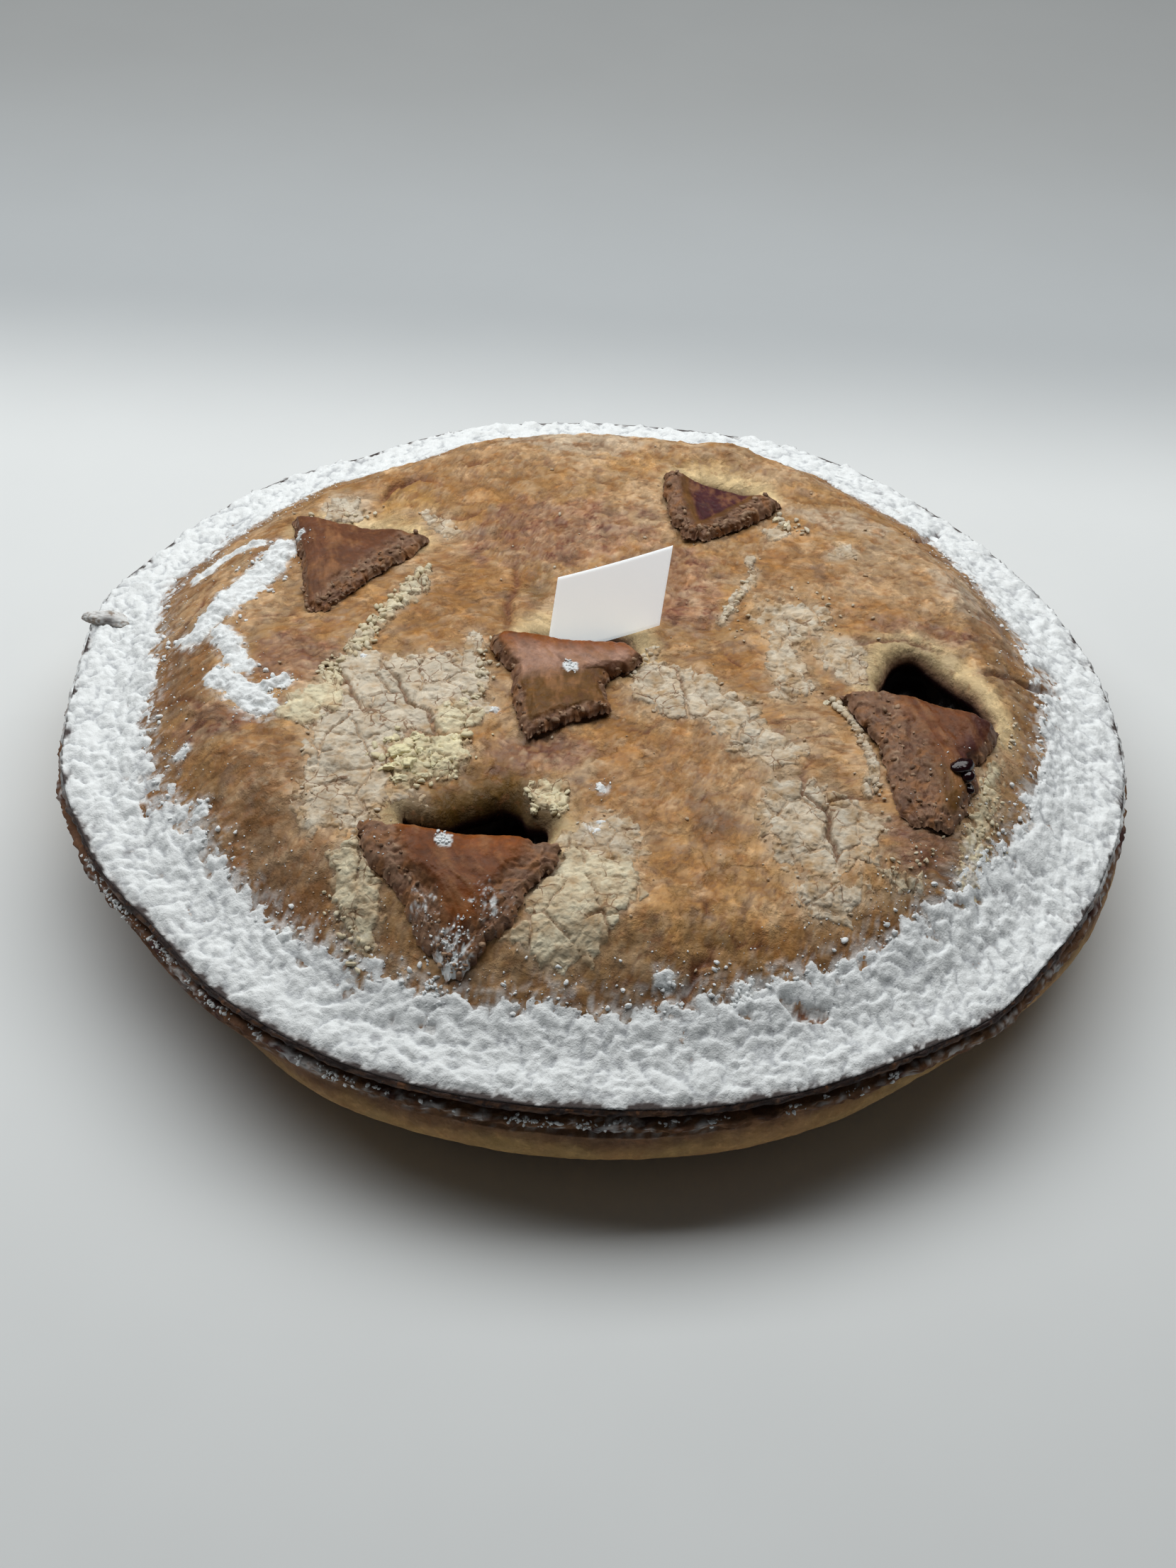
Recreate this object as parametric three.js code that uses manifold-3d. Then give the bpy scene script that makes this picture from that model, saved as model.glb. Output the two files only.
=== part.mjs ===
// A round covered cherry pie, baked in a tin and turned out: a plain-sided base crust, a puffed lid
// with five V-shaped cuts folded forward, a ring of icing sugar on the rim and a small paper card.
// Millimetres, +Z up. The origin is the centre of the flat underside; +Y points to the back.
import * as THREE from 'three';
import { mergeVertices } from 'three/addons/utils/BufferGeometryUtils.js';
import Module from 'manifold-3d';

const wasm = await Module();
wasm.setup();

// Driving dimensions
const RIM_RADIUS = 139.6;         // mean radius of the lid's edge
const RIM_HEIGHT = 34;            // top of the lid at its edge
const SHOULDER_RISE = 19;         // height that the lid gains between its rim and its shoulder
const SHOULDER_START = 97;        // radius where the lid begins to fall away
const SHOULDER_END = 133;         // radius where the lid meets its flat rim
const CROWN_RISE = 4.5;           // further rise from the shoulder to the middle
const CROWN_RADIUS = 112;
const RIM_FALL = 1.2;             // slope of the flat rim towards its edge
const LID_THICKNESS = 6.2;        // at the dome; thinner in the hollows
const RIM_THICKNESS = 2.2;
const RIM_UNDERSIDE = RIM_HEIGHT - RIM_THICKNESS;
const RIM_NOSE = 0.2;             // roundness of the lid's edge
const RIM_UNDERCUT = 1.2;
const GAP = 0.3;                  // clearance between neighbouring pieces
const BASE_BULGE_RADIUS = 141;    // widest ring of the base crust
const BASE_BULGE_HEIGHT = 22;
const FLANGE_TOP = 30.9;          // upper edge of the base crust, seen under the lid
const FLANGE_PROUD = 1.4;         // how far that edge stands out past the lid
const LEDGE_INSET = 2.2;
const FOOT_RADIUS = 112;          // flat underside
const BASE_WALL_RADIUS = 125;     // inner wall of the base crust under the rim
const BASE_FLOOR = 4.5;
const SEGMENTS = 72;              // facets round the pie
const VENT_FLOOR = 40;            // filling surface under the cuts
const WALL_SLANT = 1.5;           // sideways clearance for each unit of clearance in height

const COLOURS = {
  base_crust: 0xb8955f, lid_crust: 0xb28655, cherry_filling: 0x2a0c12, icing_sugar: 0xeef1f2,
  flap: 0x7d5a41, label_card: 0xe4e7e8,
};

// Small helpers
const TAU = 2 * Math.PI;
const radians = (degrees) => degrees * Math.PI / 180;
const mix = (a, b, t) => a + (b - a) * t;
const clamp01 = (t) => Math.min(1, Math.max(0, t));
const smooth = (a, b, t) => {
  const s = clamp01((t - a) / (b - a));
  return s * s * (3 - 2 * s);
};
const bell = (distance) => Math.exp(-distance * distance);

function randomSource(seed) {
  let state = seed >>> 0;
  return () => {
    state = (Math.imul(state, 1664525) + 1013904223) >>> 0;
    return state / 4294967296;
  };
}

// Uneven outline: local swells and dips of a radius, each at a bearing in degrees
function swell(bearing, list) {
  return list.reduce((sum, { at, width, by }) => {
    const turn = ((bearing - at + 540) % 360) - 180;
    return sum + by * bell(turn / width);
  }, 0);
}

const RIM_SWELLS = [
  { at: 65, width: 15, by: 3.6 }, { at: 124, width: 9, by: -3.6 }, { at: 166, width: 9, by: 3.4 },
  { at: -164, width: 8, by: 1.4 }, { at: -138, width: 7, by: -2.3 }, { at: -46, width: 6, by: 1.8 },
  { at: -112, width: 9, by: 0.9 }, { at: -88, width: 6, by: -0.6 }, { at: -20, width: 8, by: -0.4 },
];
const BASE_SWELLS = [
  { at: -92, width: 24, by: 0.6 }, { at: -50, width: 15, by: -3.8 }, { at: -143, width: 10, by: -2 },
  { at: 65, width: 15, by: 2.6 }, { at: 124, width: 10, by: -3 }, { at: 166, width: 9, by: 2 },
];
const rimRadius = (phi) => RIM_RADIUS + swell(phi * 180 / Math.PI, RIM_SWELLS);
const bulgeRadius = (phi) => BASE_BULGE_RADIUS + swell(phi * 180 / Math.PI, BASE_SWELLS);

// The lid's surface: a flat-topped dome with broad puffs, and a hollow behind each folded cut
const PUFFS = [
  { x: -78, y: -52, size: 24, by: 1.4 }, { x: 12, y: -94, size: 20, by: 1.8 },
  { x: 46, y: -82, size: 16, by: -1.8 }, { x: 72, y: 36, size: 24, by: 1.6 },
  { x: -22, y: 62, size: 26, by: 1.5 }, { x: 40, y: -38, size: 22, by: 1.4 },
  { x: 34, y: 103, size: 9, by: 2.6 }, { x: -104, y: 16, size: 16, by: -1.5 },
];
const RIPPLE = 0.5;
const HOLLOWS = [
  { x: -27, y: -63, size: 12, depth: 4.4 }, { x: 85, y: -6, size: 11, depth: 3.6 },
  { x: -8, y: 5, size: 10, depth: 3.2 }, { x: -66, y: 50, size: 14, depth: 3.6 },
  { x: 33, y: 84, size: 11, depth: 4 },
];

function domeHeight(x, y) {
  const r = Math.hypot(x, y) * RIM_RADIUS / rimRadius(Math.atan2(y, x));
  const shoulder = SHOULDER_RISE * (1 - smooth(SHOULDER_START, SHOULDER_END, r));
  const crown = CROWN_RISE * Math.max(0, 1 - (r / CROWN_RADIUS) ** 2);
  const rim = RIM_FALL * clamp01((RIM_RADIUS - r) / (RIM_RADIUS - SHOULDER_END));
  return RIM_HEIGHT + shoulder + crown + rim;
}

function lidHeight(x, y) {
  const fade = 1 - smooth(0.86, 0.96, Math.hypot(x, y) / rimRadius(Math.atan2(y, x)));
  const puffs = PUFFS.reduce((sum, p) => sum + p.by * bell(Math.hypot(x - p.x, y - p.y) / p.size), 0);
  const hollows = HOLLOWS.reduce(
    (sum, h) => sum + h.depth * bell(Math.hypot(x - h.x, y - h.y) / h.size), 0);
  const ripple = RIPPLE * Math.sin(x / 9.3 + 1.1) * Math.sin(y / 8.1 + 0.4);
  return domeHeight(x, y) + fade * (puffs - hollows + ripple);
}

// Solids from rings of points: the first and last rings close on a pole
function ringSolid(rings) {
  const count = rings.find((ring) => ring.length > 1).length;
  const positions = rings.flat(2);
  const starts = [];
  rings.reduce((start, ring) => {
    starts.push(start);
    return start + ring.length;
  }, 0);
  const index = [];
  for (let k = 0; k + 1 < rings.length; k++) {
    const [a, b] = [starts[k], starts[k + 1]];
    for (let i = 0; i < count; i++) {
      const j = (i + 1) % count;
      if (rings[k].length === 1) index.push(a, b + i, b + j);
      else if (rings[k + 1].length === 1) index.push(a + i, b, a + j);
      else index.push(a + i, b + i, b + j, a + i, b + j, a + j);
    }
  }
  const geometry = new THREE.BufferGeometry();
  geometry.setAttribute('position', new THREE.Float32BufferAttribute(positions, 3));
  geometry.setIndex(index);
  return geometry;
}

function ring(count, radiusAt, heightAt) {
  return Array.from({ length: count }, (_, i) => {
    const phi = i / count * TAU;
    const r = radiusAt(phi);
    const [x, y] = [r * Math.cos(phi), r * Math.sin(phi)];
    return [x, y, heightAt(x, y, phi)];
  });
}
const pole = (height) => [[0, 0, height]];

// Manifold in and out
function toSolid(geometry) {
  const bare = geometry.clone();
  bare.deleteAttribute('normal');
  bare.deleteAttribute('uv');
  const merged = mergeVertices(bare, 1e-4);
  return new wasm.Manifold(new wasm.Mesh({
    numProp: 3,
    vertProperties: new Float32Array(merged.attributes.position.array),
    triVerts: new Uint32Array(merged.index.array),
  }));
}

function toGeometry(solid) {
  const { vertProperties, triVerts } = solid.getMesh();
  const geometry = new THREE.BufferGeometry();
  geometry.setAttribute('position', new THREE.BufferAttribute(new Float32Array(vertProperties), 3));
  geometry.setIndex(new THREE.BufferAttribute(new Uint32Array(triVerts), 1));
  return geometry;
}

// A D-shaped cut: a straight side along the fold and an arch behind it
const VENTS = Object.values({
  front: { x: -23, y: -72.6, width: 26, depth: 7, turn: -4 },
  right: { x: 86.5, y: -13.6, width: 27, depth: 13, turn: -12 },
  centre: { x: -5.5, y: -3, width: 27, depth: 10, turn: 0 },
  backLeft: { x: -69, y: 45, width: 27, depth: 4, turn: -11 },
  backRight: { x: 31, y: 76, width: 22, depth: 6, turn: -22 },
});
const VENT_ARCH_STEPS = 7;
const POCKET_MARGIN = 3;          // the filling dips this far beyond a cut's outline
const VENT_BOTTOM = 20;
const VENT_TOP = 80;

function ventPrism({ x, y, width, depth, turn }, grow, bottom) {
  const half = width / 2 + grow;
  const outline = new THREE.Shape();
  outline.moveTo(-half, -grow);
  outline.lineTo(half, -grow);
  outline.absellipse(0, -grow, half, depth + 2 * grow, 0, Math.PI, false);
  const prism = new THREE.ExtrudeGeometry(outline, {
    depth: VENT_TOP - bottom, bevelEnabled: false, curveSegments: VENT_ARCH_STEPS,
  });
  prism.rotateZ(radians(turn));
  prism.translate(x, y, bottom);
  return toSolid(prism);
}

// Lid: a finely ringed top over a coarser dome-shaped cavity
const LID_RINGS = [13, 26, 38, 50, 61, 71, 80, 89, 98, 106, 113, 124.5, 132, RIM_RADIUS];
const CAVITY_RINGS = [30, 58, 84, 100, 113, 123.5];
const CAVITY_SEGMENTS = 40;
const rimShare = (r) => (phi) => r * rimRadius(phi) / RIM_RADIUS;

function lidBlank() {
  const tops = LID_RINGS.map((r) => ring(SEGMENTS, rimShare(r), lidHeight));
  const edge = ring(SEGMENTS, rimShare(RIM_RADIUS + RIM_NOSE), () => RIM_HEIGHT - RIM_THICKNESS / 2);
  const under = ring(SEGMENTS, rimShare(RIM_RADIUS - RIM_UNDERCUT), () => RIM_UNDERSIDE);
  return toSolid(ringSolid([pole(lidHeight(0, 0)), ...tops, edge, under, pole(RIM_UNDERSIDE)]));
}

// The space under the lid, down to a flat bottom; shrink gives the filling its clearance
function cavity(shrink, bottom) {
  const height = (x, y) => domeHeight(x, y) - LID_THICKNESS - shrink;
  const tops = CAVITY_RINGS.map((r) => ring(CAVITY_SEGMENTS, rimShare(r - shrink), height));
  const wall = ring(CAVITY_SEGMENTS, rimShare(CAVITY_RINGS.at(-1) - shrink), () => bottom);
  return toSolid(ringSolid([pole(height(0, 0)), ...tops, wall, pole(bottom)]));
}

// Crumbs of pale crust fused to the lid, in streaks beside the cuts
const CRUMB_STREAKS = [
  { path: [[-50, 22], [-58, 6], [-66, -10], [-80, -31]], count: 12, size: 2.8 },
  { path: [[59.5, -21], [66, -33], [69, -52]], count: 8, size: 2.1 },
  { path: [[-48, -45], [-41, -52]], count: 3, size: 3.6 },
  { path: [[-15, -61], [-9, -64]], count: 2, size: 3.2 },
];

function crumb(x, y, size, turn) {
  const blob = new THREE.IcosahedronGeometry(size, 0);
  blob.scale(1.15, 0.9, 0.75);
  blob.rotateZ(turn);
  blob.translate(x, y, lidHeight(x, y) + 0.1 * size);
  return toSolid(blob);
}

function crumbs() {
  const random = randomSource(7);
  return CRUMB_STREAKS.flatMap(({ path, count, size }) => {
    const points = path.map(([x, y]) => new THREE.Vector3(x, y, 0));
    const curve = new THREE.CatmullRomCurve3(points);
    return Array.from({ length: count }, (_, i) => {
      const p = curve.getPointAt((i + 0.5) / count);
      const spread = () => (random() - 0.5) * size * 0.6;
      return crumb(p.x + spread(), p.y + spread(), size * mix(0.75, 1.15, random()), random() * TAU);
    });
  });
}

function lidSolid() {
  const vents = VENTS.map((vent) => ventPrism(vent, 0, VENT_BOTTOM));
  const hollowed = lidBlank().subtract(cavity(0, VENT_BOTTOM));
  const cut = vents.reduce((solid, vent) => solid.subtract(vent), hollowed);
  return crumbs().reduce((solid, blob) => solid.add(blob), cut);
}

// Filling: all the space between base and lid, dipping under each cut
function fillingSolid() {
  const body = cavity(GAP, BASE_FLOOR + GAP);
  const wallFit = baseInside(GAP);
  const pockets = VENTS.map((vent) => ventPrism(vent, POCKET_MARGIN, VENT_FLOOR));
  return pockets.reduce((solid, pocket) => solid.subtract(pocket), body.intersect(wallFit));
}

// Inner surface of the base crust as a closed plug, from its floor up past the lid's rim
const INSIDE_PROFILE = [[104, 0], [116, 7], [122, 16], [BASE_WALL_RADIUS, 27], [BASE_WALL_RADIUS, 36]];

function baseInside(shrink) {
  const sides = INSIDE_PROFILE.map(([r, z], i) => {
    const height = i === 0 ? BASE_FLOOR + shrink : BASE_FLOOR + z;
    return ring(CAVITY_SEGMENTS, rimShare(r - WALL_SLANT * shrink), () => height);
  });
  const rings = [pole(BASE_FLOOR + shrink), ...sides, pole(BASE_FLOOR + INSIDE_PROFILE.at(-1)[1])];
  return toSolid(flip(ringSolid(rings)));
}

function flip(geometry) {
  const index = geometry.index.array;
  for (let i = 0; i < index.length; i += 3) [index[i], index[i + 1]] = [index[i + 1], index[i]];
  return geometry;
}

// Base crust: flat foot, flared wall, rounded bulge and a ragged flange under the lid
const BASE_PROFILE = [
  [FOOT_RADIUS, 0], [121, 3], [129.5, 8], [135.5, 13.5], [139.6, 18], [141, BASE_BULGE_HEIGHT],
  [140.6, 26],
];

function baseSolid() {
  const share = (r) => (phi) => r * bulgeRadius(phi) / BASE_BULGE_RADIUS;
  const outside = BASE_PROFILE.map(([r, z]) => ring(SEGMENTS, share(r), () => z));
  const ragged = (proud) => (phi) => rimRadius(phi) + proud
    + 0.45 * Math.sin(phi * 23 + 1) * Math.sin(phi * 9) + 0.3 * Math.sin(phi * 37);
  const lip = [[FLANGE_PROUD - 0.5, 27.6], [FLANGE_PROUD, 29.4], [FLANGE_PROUD - 0.9, FLANGE_TOP]]
    .map(([proud, z]) => ring(SEGMENTS, ragged(proud), () => z));
  const ledge = ring(SEGMENTS, rimShare(RIM_RADIUS - LEDGE_INSET), () => RIM_UNDERSIDE - GAP);
  const rings = [pole(0), ...outside, ...lip, ledge, pole(RIM_UNDERSIDE - GAP)];
  return toSolid(flip(ringSolid(rings))).subtract(baseInside(0));
}

// Icing sugar: a lumpy skin on the rim with an uneven inner margin
const SUGAR_SHARES = [0, 0.2, 0.5, 0.8, 1];
const SUGAR_DEPTH = 1.7;
const SUGAR_EDGE = 0.3;
const SUGAR_MARGIN = 0.9;         // lid left bare at its very edge
const SUGAR_RINGS = [132, 124.5]; // rings of the lid under the sugar

const SUGAR_REACH = 20;           // how far the sugar comes in from the edge

function sugarInner(phi) {
  const ragged = 1.2 * Math.sin(phi * 11 + 2) + Math.sin(phi * 26) * Math.sin(phi * 5 + 1);
  return rimRadius(phi) - SUGAR_REACH + ragged + swell(phi * 180 / Math.PI, [
    { at: 62, width: 22, by: -2 }, { at: 120, width: 26, by: 1.5 }, { at: -104, width: 7, by: 1 },
  ]);
}

// Height of the lid's facets along one of the radial edges that they share
function facetHeight(phi, r) {
  const share = r * RIM_RADIUS / rimRadius(phi);
  const k = LID_RINGS.findIndex((outer) => outer >= share);
  const [inner, outer] = [LID_RINGS[k - 1], LID_RINGS[k]];
  const height = (at) => {
    const reach = rimShare(at)(phi);
    return lidHeight(reach * Math.cos(phi), reach * Math.sin(phi));
  };
  return mix(height(inner), height(outer), (share - inner) / (outer - inner));
}

function sugarGeometry() {
  const random = randomSource(11);
  const outermost = (phi) => rimRadius(phi) - SUGAR_MARGIN;
  const at = (share) => (phi) => mix(sugarInner(phi), outermost(phi), share);
  const tops = SUGAR_SHARES.map((share) => {
    const full = 4 * SUGAR_DEPTH * Math.min(share, 1 - share, 0.25);
    const thickness = () => SUGAR_EDGE + full * mix(0.75, 1.15, random());
    return ring(SEGMENTS, at(share), (x, y) => (
      facetHeight(Math.atan2(y, x), Math.hypot(x, y)) + GAP + thickness()));
  });
  const onLid = (x, y) => facetHeight(Math.atan2(y, x), Math.hypot(x, y)) + GAP;
  const bottoms = [outermost, ...SUGAR_RINGS.map(rimShare), at(0)]
    .map((radiusAt) => ring(SEGMENTS, radiusAt, onLid));
  return closedBand([...tops, ...bottoms]);
}

// A ring-shaped body: the last ring joins the first
function closedBand(rings) {
  const count = rings[0].length;
  const index = [];
  rings.forEach((_, k) => {
    const [a, b] = [k * count, (k + 1) % rings.length * count];
    for (let i = 0; i < count; i++) {
      const j = (i + 1) % count;
      index.push(a + i, b + i, b + j, a + i, b + j, a + j);
    }
  });
  const geometry = new THREE.BufferGeometry();
  geometry.setAttribute('position', new THREE.Float32BufferAttribute(rings.flat(2), 3));
  geometry.setIndex(index);
  return geometry;
}

// Folded flaps: each lies on the lid in front of its cut, thick at the fold and thin at the tip.
// left and right give the two torn sides from the fold to the tip.
const FLAPS = [
  {
    name: 'flap_front', rise: 6, tip: 3, sag: 2.5,
    left: [[-54, -73], [-46, -93], [-33, -112.5]], right: [[-8, -77], [-14.5, -95], [-27.5, -112]],
  },
  {
    name: 'flap_right', rise: 5.5, tip: 3, sag: 2,
    left: [[59.5, -11.5], [74, -33], [83, -57]], right: [[104, -20], [97.5, -38], [91, -58]],
  },
  {
    name: 'flap_centre', rise: 6, tip: 4.5, sag: 3,
    left: [[-27, 0], [-20.5, -19], [-18.5, -40]], right: [[10.5, -4], [1, -17], [2.5, -30]],
  },
  {
    name: 'flap_back_left', rise: 6, tip: 3, sag: 1.5,
    left: [[-88, 47], [-83, 26], [-78.5, 6]], right: [[-49, 40], [-61, 21], [-73.5, 6]],
  },
  {
    name: 'flap_back_right', rise: 6, tip: 4, sag: 3,
    left: [[14.5, 79], [15.5, 62], [20, 47]], right: [[48, 67], [39, 56.5], [27, 46.5]],
  },
];
const FLAP_COLUMNS = 8;
const FLAP_ROWS = 8;
const FLAP_SINK = 4;              // below the lid's surface, before the lid is cut away
const TORN_RELIEF = 1.5;          // unevenness of the torn sides and of the face
const FACE_RELIEF = 0.4;

function flapPoint({ left, right, sag }, u, v) {
  const along = (side) => {
    const curve = new THREE.QuadraticBezierCurve(...throughMiddle(side));
    return curve.getPoint(v);
  };
  const [a, b] = [along(left), along(right)];
  const bend = sag * Math.sin(Math.PI * u) * (1 - v);
  return [mix(a.x, b.x, u), mix(a.y, b.y, u) - bend];
}

// Control points of the quadratic curve that passes through three points
function throughMiddle([start, middle, end]) {
  const control = middle.map((m, k) => 2 * m - (start[k] + end[k]) / 2);
  return [start, control, end].map((p) => new THREE.Vector2(...p));
}

function flapSolid(flap, lid, random) {
  const { rise, tip } = flap;
  const height = (u, v) => {
    const side = Math.min(u, 1 - u);
    const across = mix(0.62, 1, smooth(0, 0.25, side));
    const fold = mix(0.55, 1, smooth(0, 0.16, v)) * mix(1, 0.7, smooth(0.85, 1, v));
    const torn = (side === 0 ? TORN_RELIEF : FACE_RELIEF) * random();
    return mix(rise, tip, v) * across * fold + torn;
  };
  const sample = (lift) => {
    const points = [];
    for (let j = 0; j <= FLAP_ROWS; j++) {
      for (let i = 0; i <= FLAP_COLUMNS; i++) {
        const [u, v] = [i / FLAP_COLUMNS, j / FLAP_ROWS];
        const [x, y] = flapPoint(flap, u, v);
        points.push([x, y, lidHeight(x, y) + lift(u, v)]);
      }
    }
    return points;
  };
  const slab = slabSolid(sample(height), sample(() => -FLAP_SINK), FLAP_COLUMNS, FLAP_ROWS);
  return slab.subtract(lid.translate(0, 0, GAP)).subtract(belowLid());
}

// Everything under the lid's upper surface, so that nothing of a flap is left inside a cut
let underLid;
function belowLid() {
  underLid ??= lidBlank().translate(0, 0, GAP);
  return underLid;
}

function slabSolid(top, bottom, columns, rows) {
  const width = columns + 1;
  const offset = top.length;
  const index = [];
  for (let j = 0; j < rows; j++) {
    for (let i = 0; i < columns; i++) {
      const [a, d] = [j * width + i, (j + 1) * width + i];
      const [b, c] = [a + 1, d + 1];
      index.push(a, d, c, a, c, b);
      index.push(offset + a, offset + c, offset + d, offset + a, offset + b, offset + c);
    }
  }
  const border = [];
  for (let i = 0; i < columns; i++) border.push(i);
  for (let j = 0; j < rows; j++) border.push(j * width + columns);
  for (let i = columns; i > 0; i--) border.push(rows * width + i);
  for (let j = rows; j > 0; j--) border.push(j * width);
  border.forEach((a, k) => {
    const b = border[(k + 1) % border.length];
    index.push(a, b, offset + b, a, offset + b, offset + a);
  });
  const geometry = new THREE.BufferGeometry();
  geometry.setAttribute('position', new THREE.Float32BufferAttribute([...top, ...bottom].flat(), 3));
  geometry.setIndex(index);
  return toSolid(geometry);
}

// Paper card: a thin, slightly bowed sheet with slanted sides, its lower left corner in the middle cut
const CARD = { width: 31, height: 19.7, slant: 9.2, thickness: 0.5, bow: 1, lean: 20, roll: 19.9 };
const CARD_CORNER = { x: -14.7, y: 0, z: 51.3 };

function cardGeometry() {
  const columns = 8;
  const rows = 2;
  const face = (offset) => {
    const points = [];
    for (let j = 0; j <= rows; j++) {
      for (let i = 0; i <= columns; i++) {
        const [u, v] = [i / columns, j / rows];
        const bow = 4 * CARD.bow * u * (1 - u);
        points.push([u * CARD.width + v * CARD.slant, offset - bow, v * CARD.height]);
      }
    }
    return points;
  };
  return toGeometry(slabSolid(face(CARD.thickness), face(0), columns, rows));
}

// Assembly
const group = new THREE.Group();

function place(name, geometry, colour, roughness) {
  const material = new THREE.MeshStandardMaterial({ color: colour, roughness, metalness: 0 });
  const mesh = new THREE.Mesh(geometry, material);
  mesh.name = name;
  group.add(mesh);
  return mesh;
}

const lid = lidSolid();
const random = randomSource(23);
place('base_crust', toGeometry(baseSolid()), COLOURS.base_crust, 0.8);
place('cherry_filling', toGeometry(fillingSolid()), COLOURS.cherry_filling, 0.3);
place('lid_crust', toGeometry(lid), COLOURS.lid_crust, 0.75);
place('icing_sugar', sugarGeometry(), COLOURS.icing_sugar, 0.95);
FLAPS.forEach((flap) => {
  place(flap.name, toGeometry(flapSolid(flap, lid, random)), COLOURS.flap, 0.75);
});
const card = place('label_card', cardGeometry(), COLOURS.label_card, 0.6);
card.position.set(CARD_CORNER.x, CARD_CORNER.y, CARD_CORNER.z);
card.rotation.set(radians(-CARD.lean), radians(-CARD.roll), 0, 'XYZ');

export default group;
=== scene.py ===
"""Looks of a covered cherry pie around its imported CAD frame: crusts, folded flaps, filling, sugar, card."""
import itertools
import math
from types import SimpleNamespace

import bmesh
import bpy
import numpy as np
from mathutils import Matrix, Vector
from mathutils.geometry import delaunay_2d_cdt


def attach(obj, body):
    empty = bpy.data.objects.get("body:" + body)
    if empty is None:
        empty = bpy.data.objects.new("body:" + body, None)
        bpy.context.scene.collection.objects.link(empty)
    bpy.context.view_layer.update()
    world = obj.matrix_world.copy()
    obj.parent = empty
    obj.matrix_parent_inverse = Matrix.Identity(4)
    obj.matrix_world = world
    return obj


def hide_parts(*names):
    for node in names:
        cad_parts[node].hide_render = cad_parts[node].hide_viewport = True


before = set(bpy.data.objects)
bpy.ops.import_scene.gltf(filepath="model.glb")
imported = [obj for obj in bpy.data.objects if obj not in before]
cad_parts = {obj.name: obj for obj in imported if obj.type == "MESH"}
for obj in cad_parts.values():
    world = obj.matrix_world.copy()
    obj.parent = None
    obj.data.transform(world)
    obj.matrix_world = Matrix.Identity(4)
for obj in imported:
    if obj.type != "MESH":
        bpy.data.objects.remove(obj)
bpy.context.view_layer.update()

MM = 0.001
TAU = 2 * math.pi

# ---------------------------------------------------------------- the pie's form, as in the CAD part (mm)
RIM_RADIUS = 139.6
RIM_HEIGHT = 34.0
SHOULDER_RISE = 19.0
SHOULDER_START = 97.0
SHOULDER_END = 133.0
CROWN_RISE = 4.5
CROWN_RADIUS = 112.0
RIM_FALL = 1.2
RIM_UNDERSIDE = 31.8
LID_THICKNESS = 6.2
CAVITY_RADIUS = 123.5
BASE_BULGE_RADIUS = 141.0
VENT_FLOOR = 40.0

# bearing in degrees, width in degrees, change of radius
RIM_SWELLS = [
    (65, 15, 3.6), (124, 9, -3.6), (166, 9, 3.4), (-164, 8, 1.4), (-138, 7, -2.3),
    (-46, 6, 1.8), (-112, 9, 0.9), (-88, 6, -0.6), (-20, 8, -0.4),
]
BASE_SWELLS = [
    (-92, 24, 0.6), (-50, 15, -3.8), (-143, 10, -2), (65, 15, 2.6), (124, 10, -3), (166, 9, 2),
]
# x, y, size, rise
PUFFS = [
    (-78, -52, 24, 1.4), (12, -94, 20, 1.8), (46, -82, 16, -1.8), (72, 36, 24, 1.6),
    (-22, 62, 26, 1.5), (40, -38, 22, 1.4), (34, 103, 9, 2.6), (-104, 16, 16, -1.5),
]
# x, y, size, depth
HOLLOWS = [
    (-27, -63, 12, 4.4), (85, -6, 11, 3.6), (-8, 5, 10, 3.2), (-66, 50, 14, 3.6), (33, 84, 11, 4),
]


# ---------------------------------------------------------------- small helpers
def clamp01(t):
    return np.clip(t, 0.0, 1.0)


def mix(a, b, t):
    return a + (b - a) * t


def smooth(a, b, t):
    s = clamp01((np.asarray(t, float) - a) / (b - a))
    return s * s * (3 - 2 * s)


def bell(d):
    return np.exp(-d * d)


def round_off(distance, radius):
    """A quarter circle that rises from 0 at an edge to 1."""
    return np.sqrt(1 - (1 - clamp01(distance / radius)) ** 2)


def tinted(base, colour, share):
    """Colours moved towards another by a share of their own each."""
    return base + (colour - base) * np.asarray(share)[..., None]


def plain(colour, like):
    """One colour for every place."""
    return np.broadcast_to(colour, (*np.shape(like), 3))


def polar(reach, bearing):
    return reach * np.cos(bearing), reach * np.sin(bearing)


def ring_points(reach, bearing, z):
    x, y = polar(reach, bearing)
    return np.stack([x, y, np.broadcast_to(z, x.shape)], axis=1)


def near_box(x, y, path, margin=0.0):
    """Whether places lie in the box round some points, widened by a margin."""
    low, high = np.min(path, axis=0) - margin, np.max(path, axis=0) + margin
    return (x > low[0]) & (x < high[0]) & (y > low[1]) & (y < high[1])


def sector(x, y, start, full_from, full_to, end):
    """1 between two bearings in degrees, fading out on both sides."""
    bearing = np.degrees(np.arctan2(y, x))
    return smooth(start, full_from, bearing) * smooth(end, full_to, bearing)


def srgb(r, g, b):
    """Linear colour of an 8-bit screen colour."""
    c = np.array([r, g, b], float) / 255
    return np.where(c <= 0.04045, c / 12.92, ((c + 0.055) / 1.055) ** 2.4)


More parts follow.
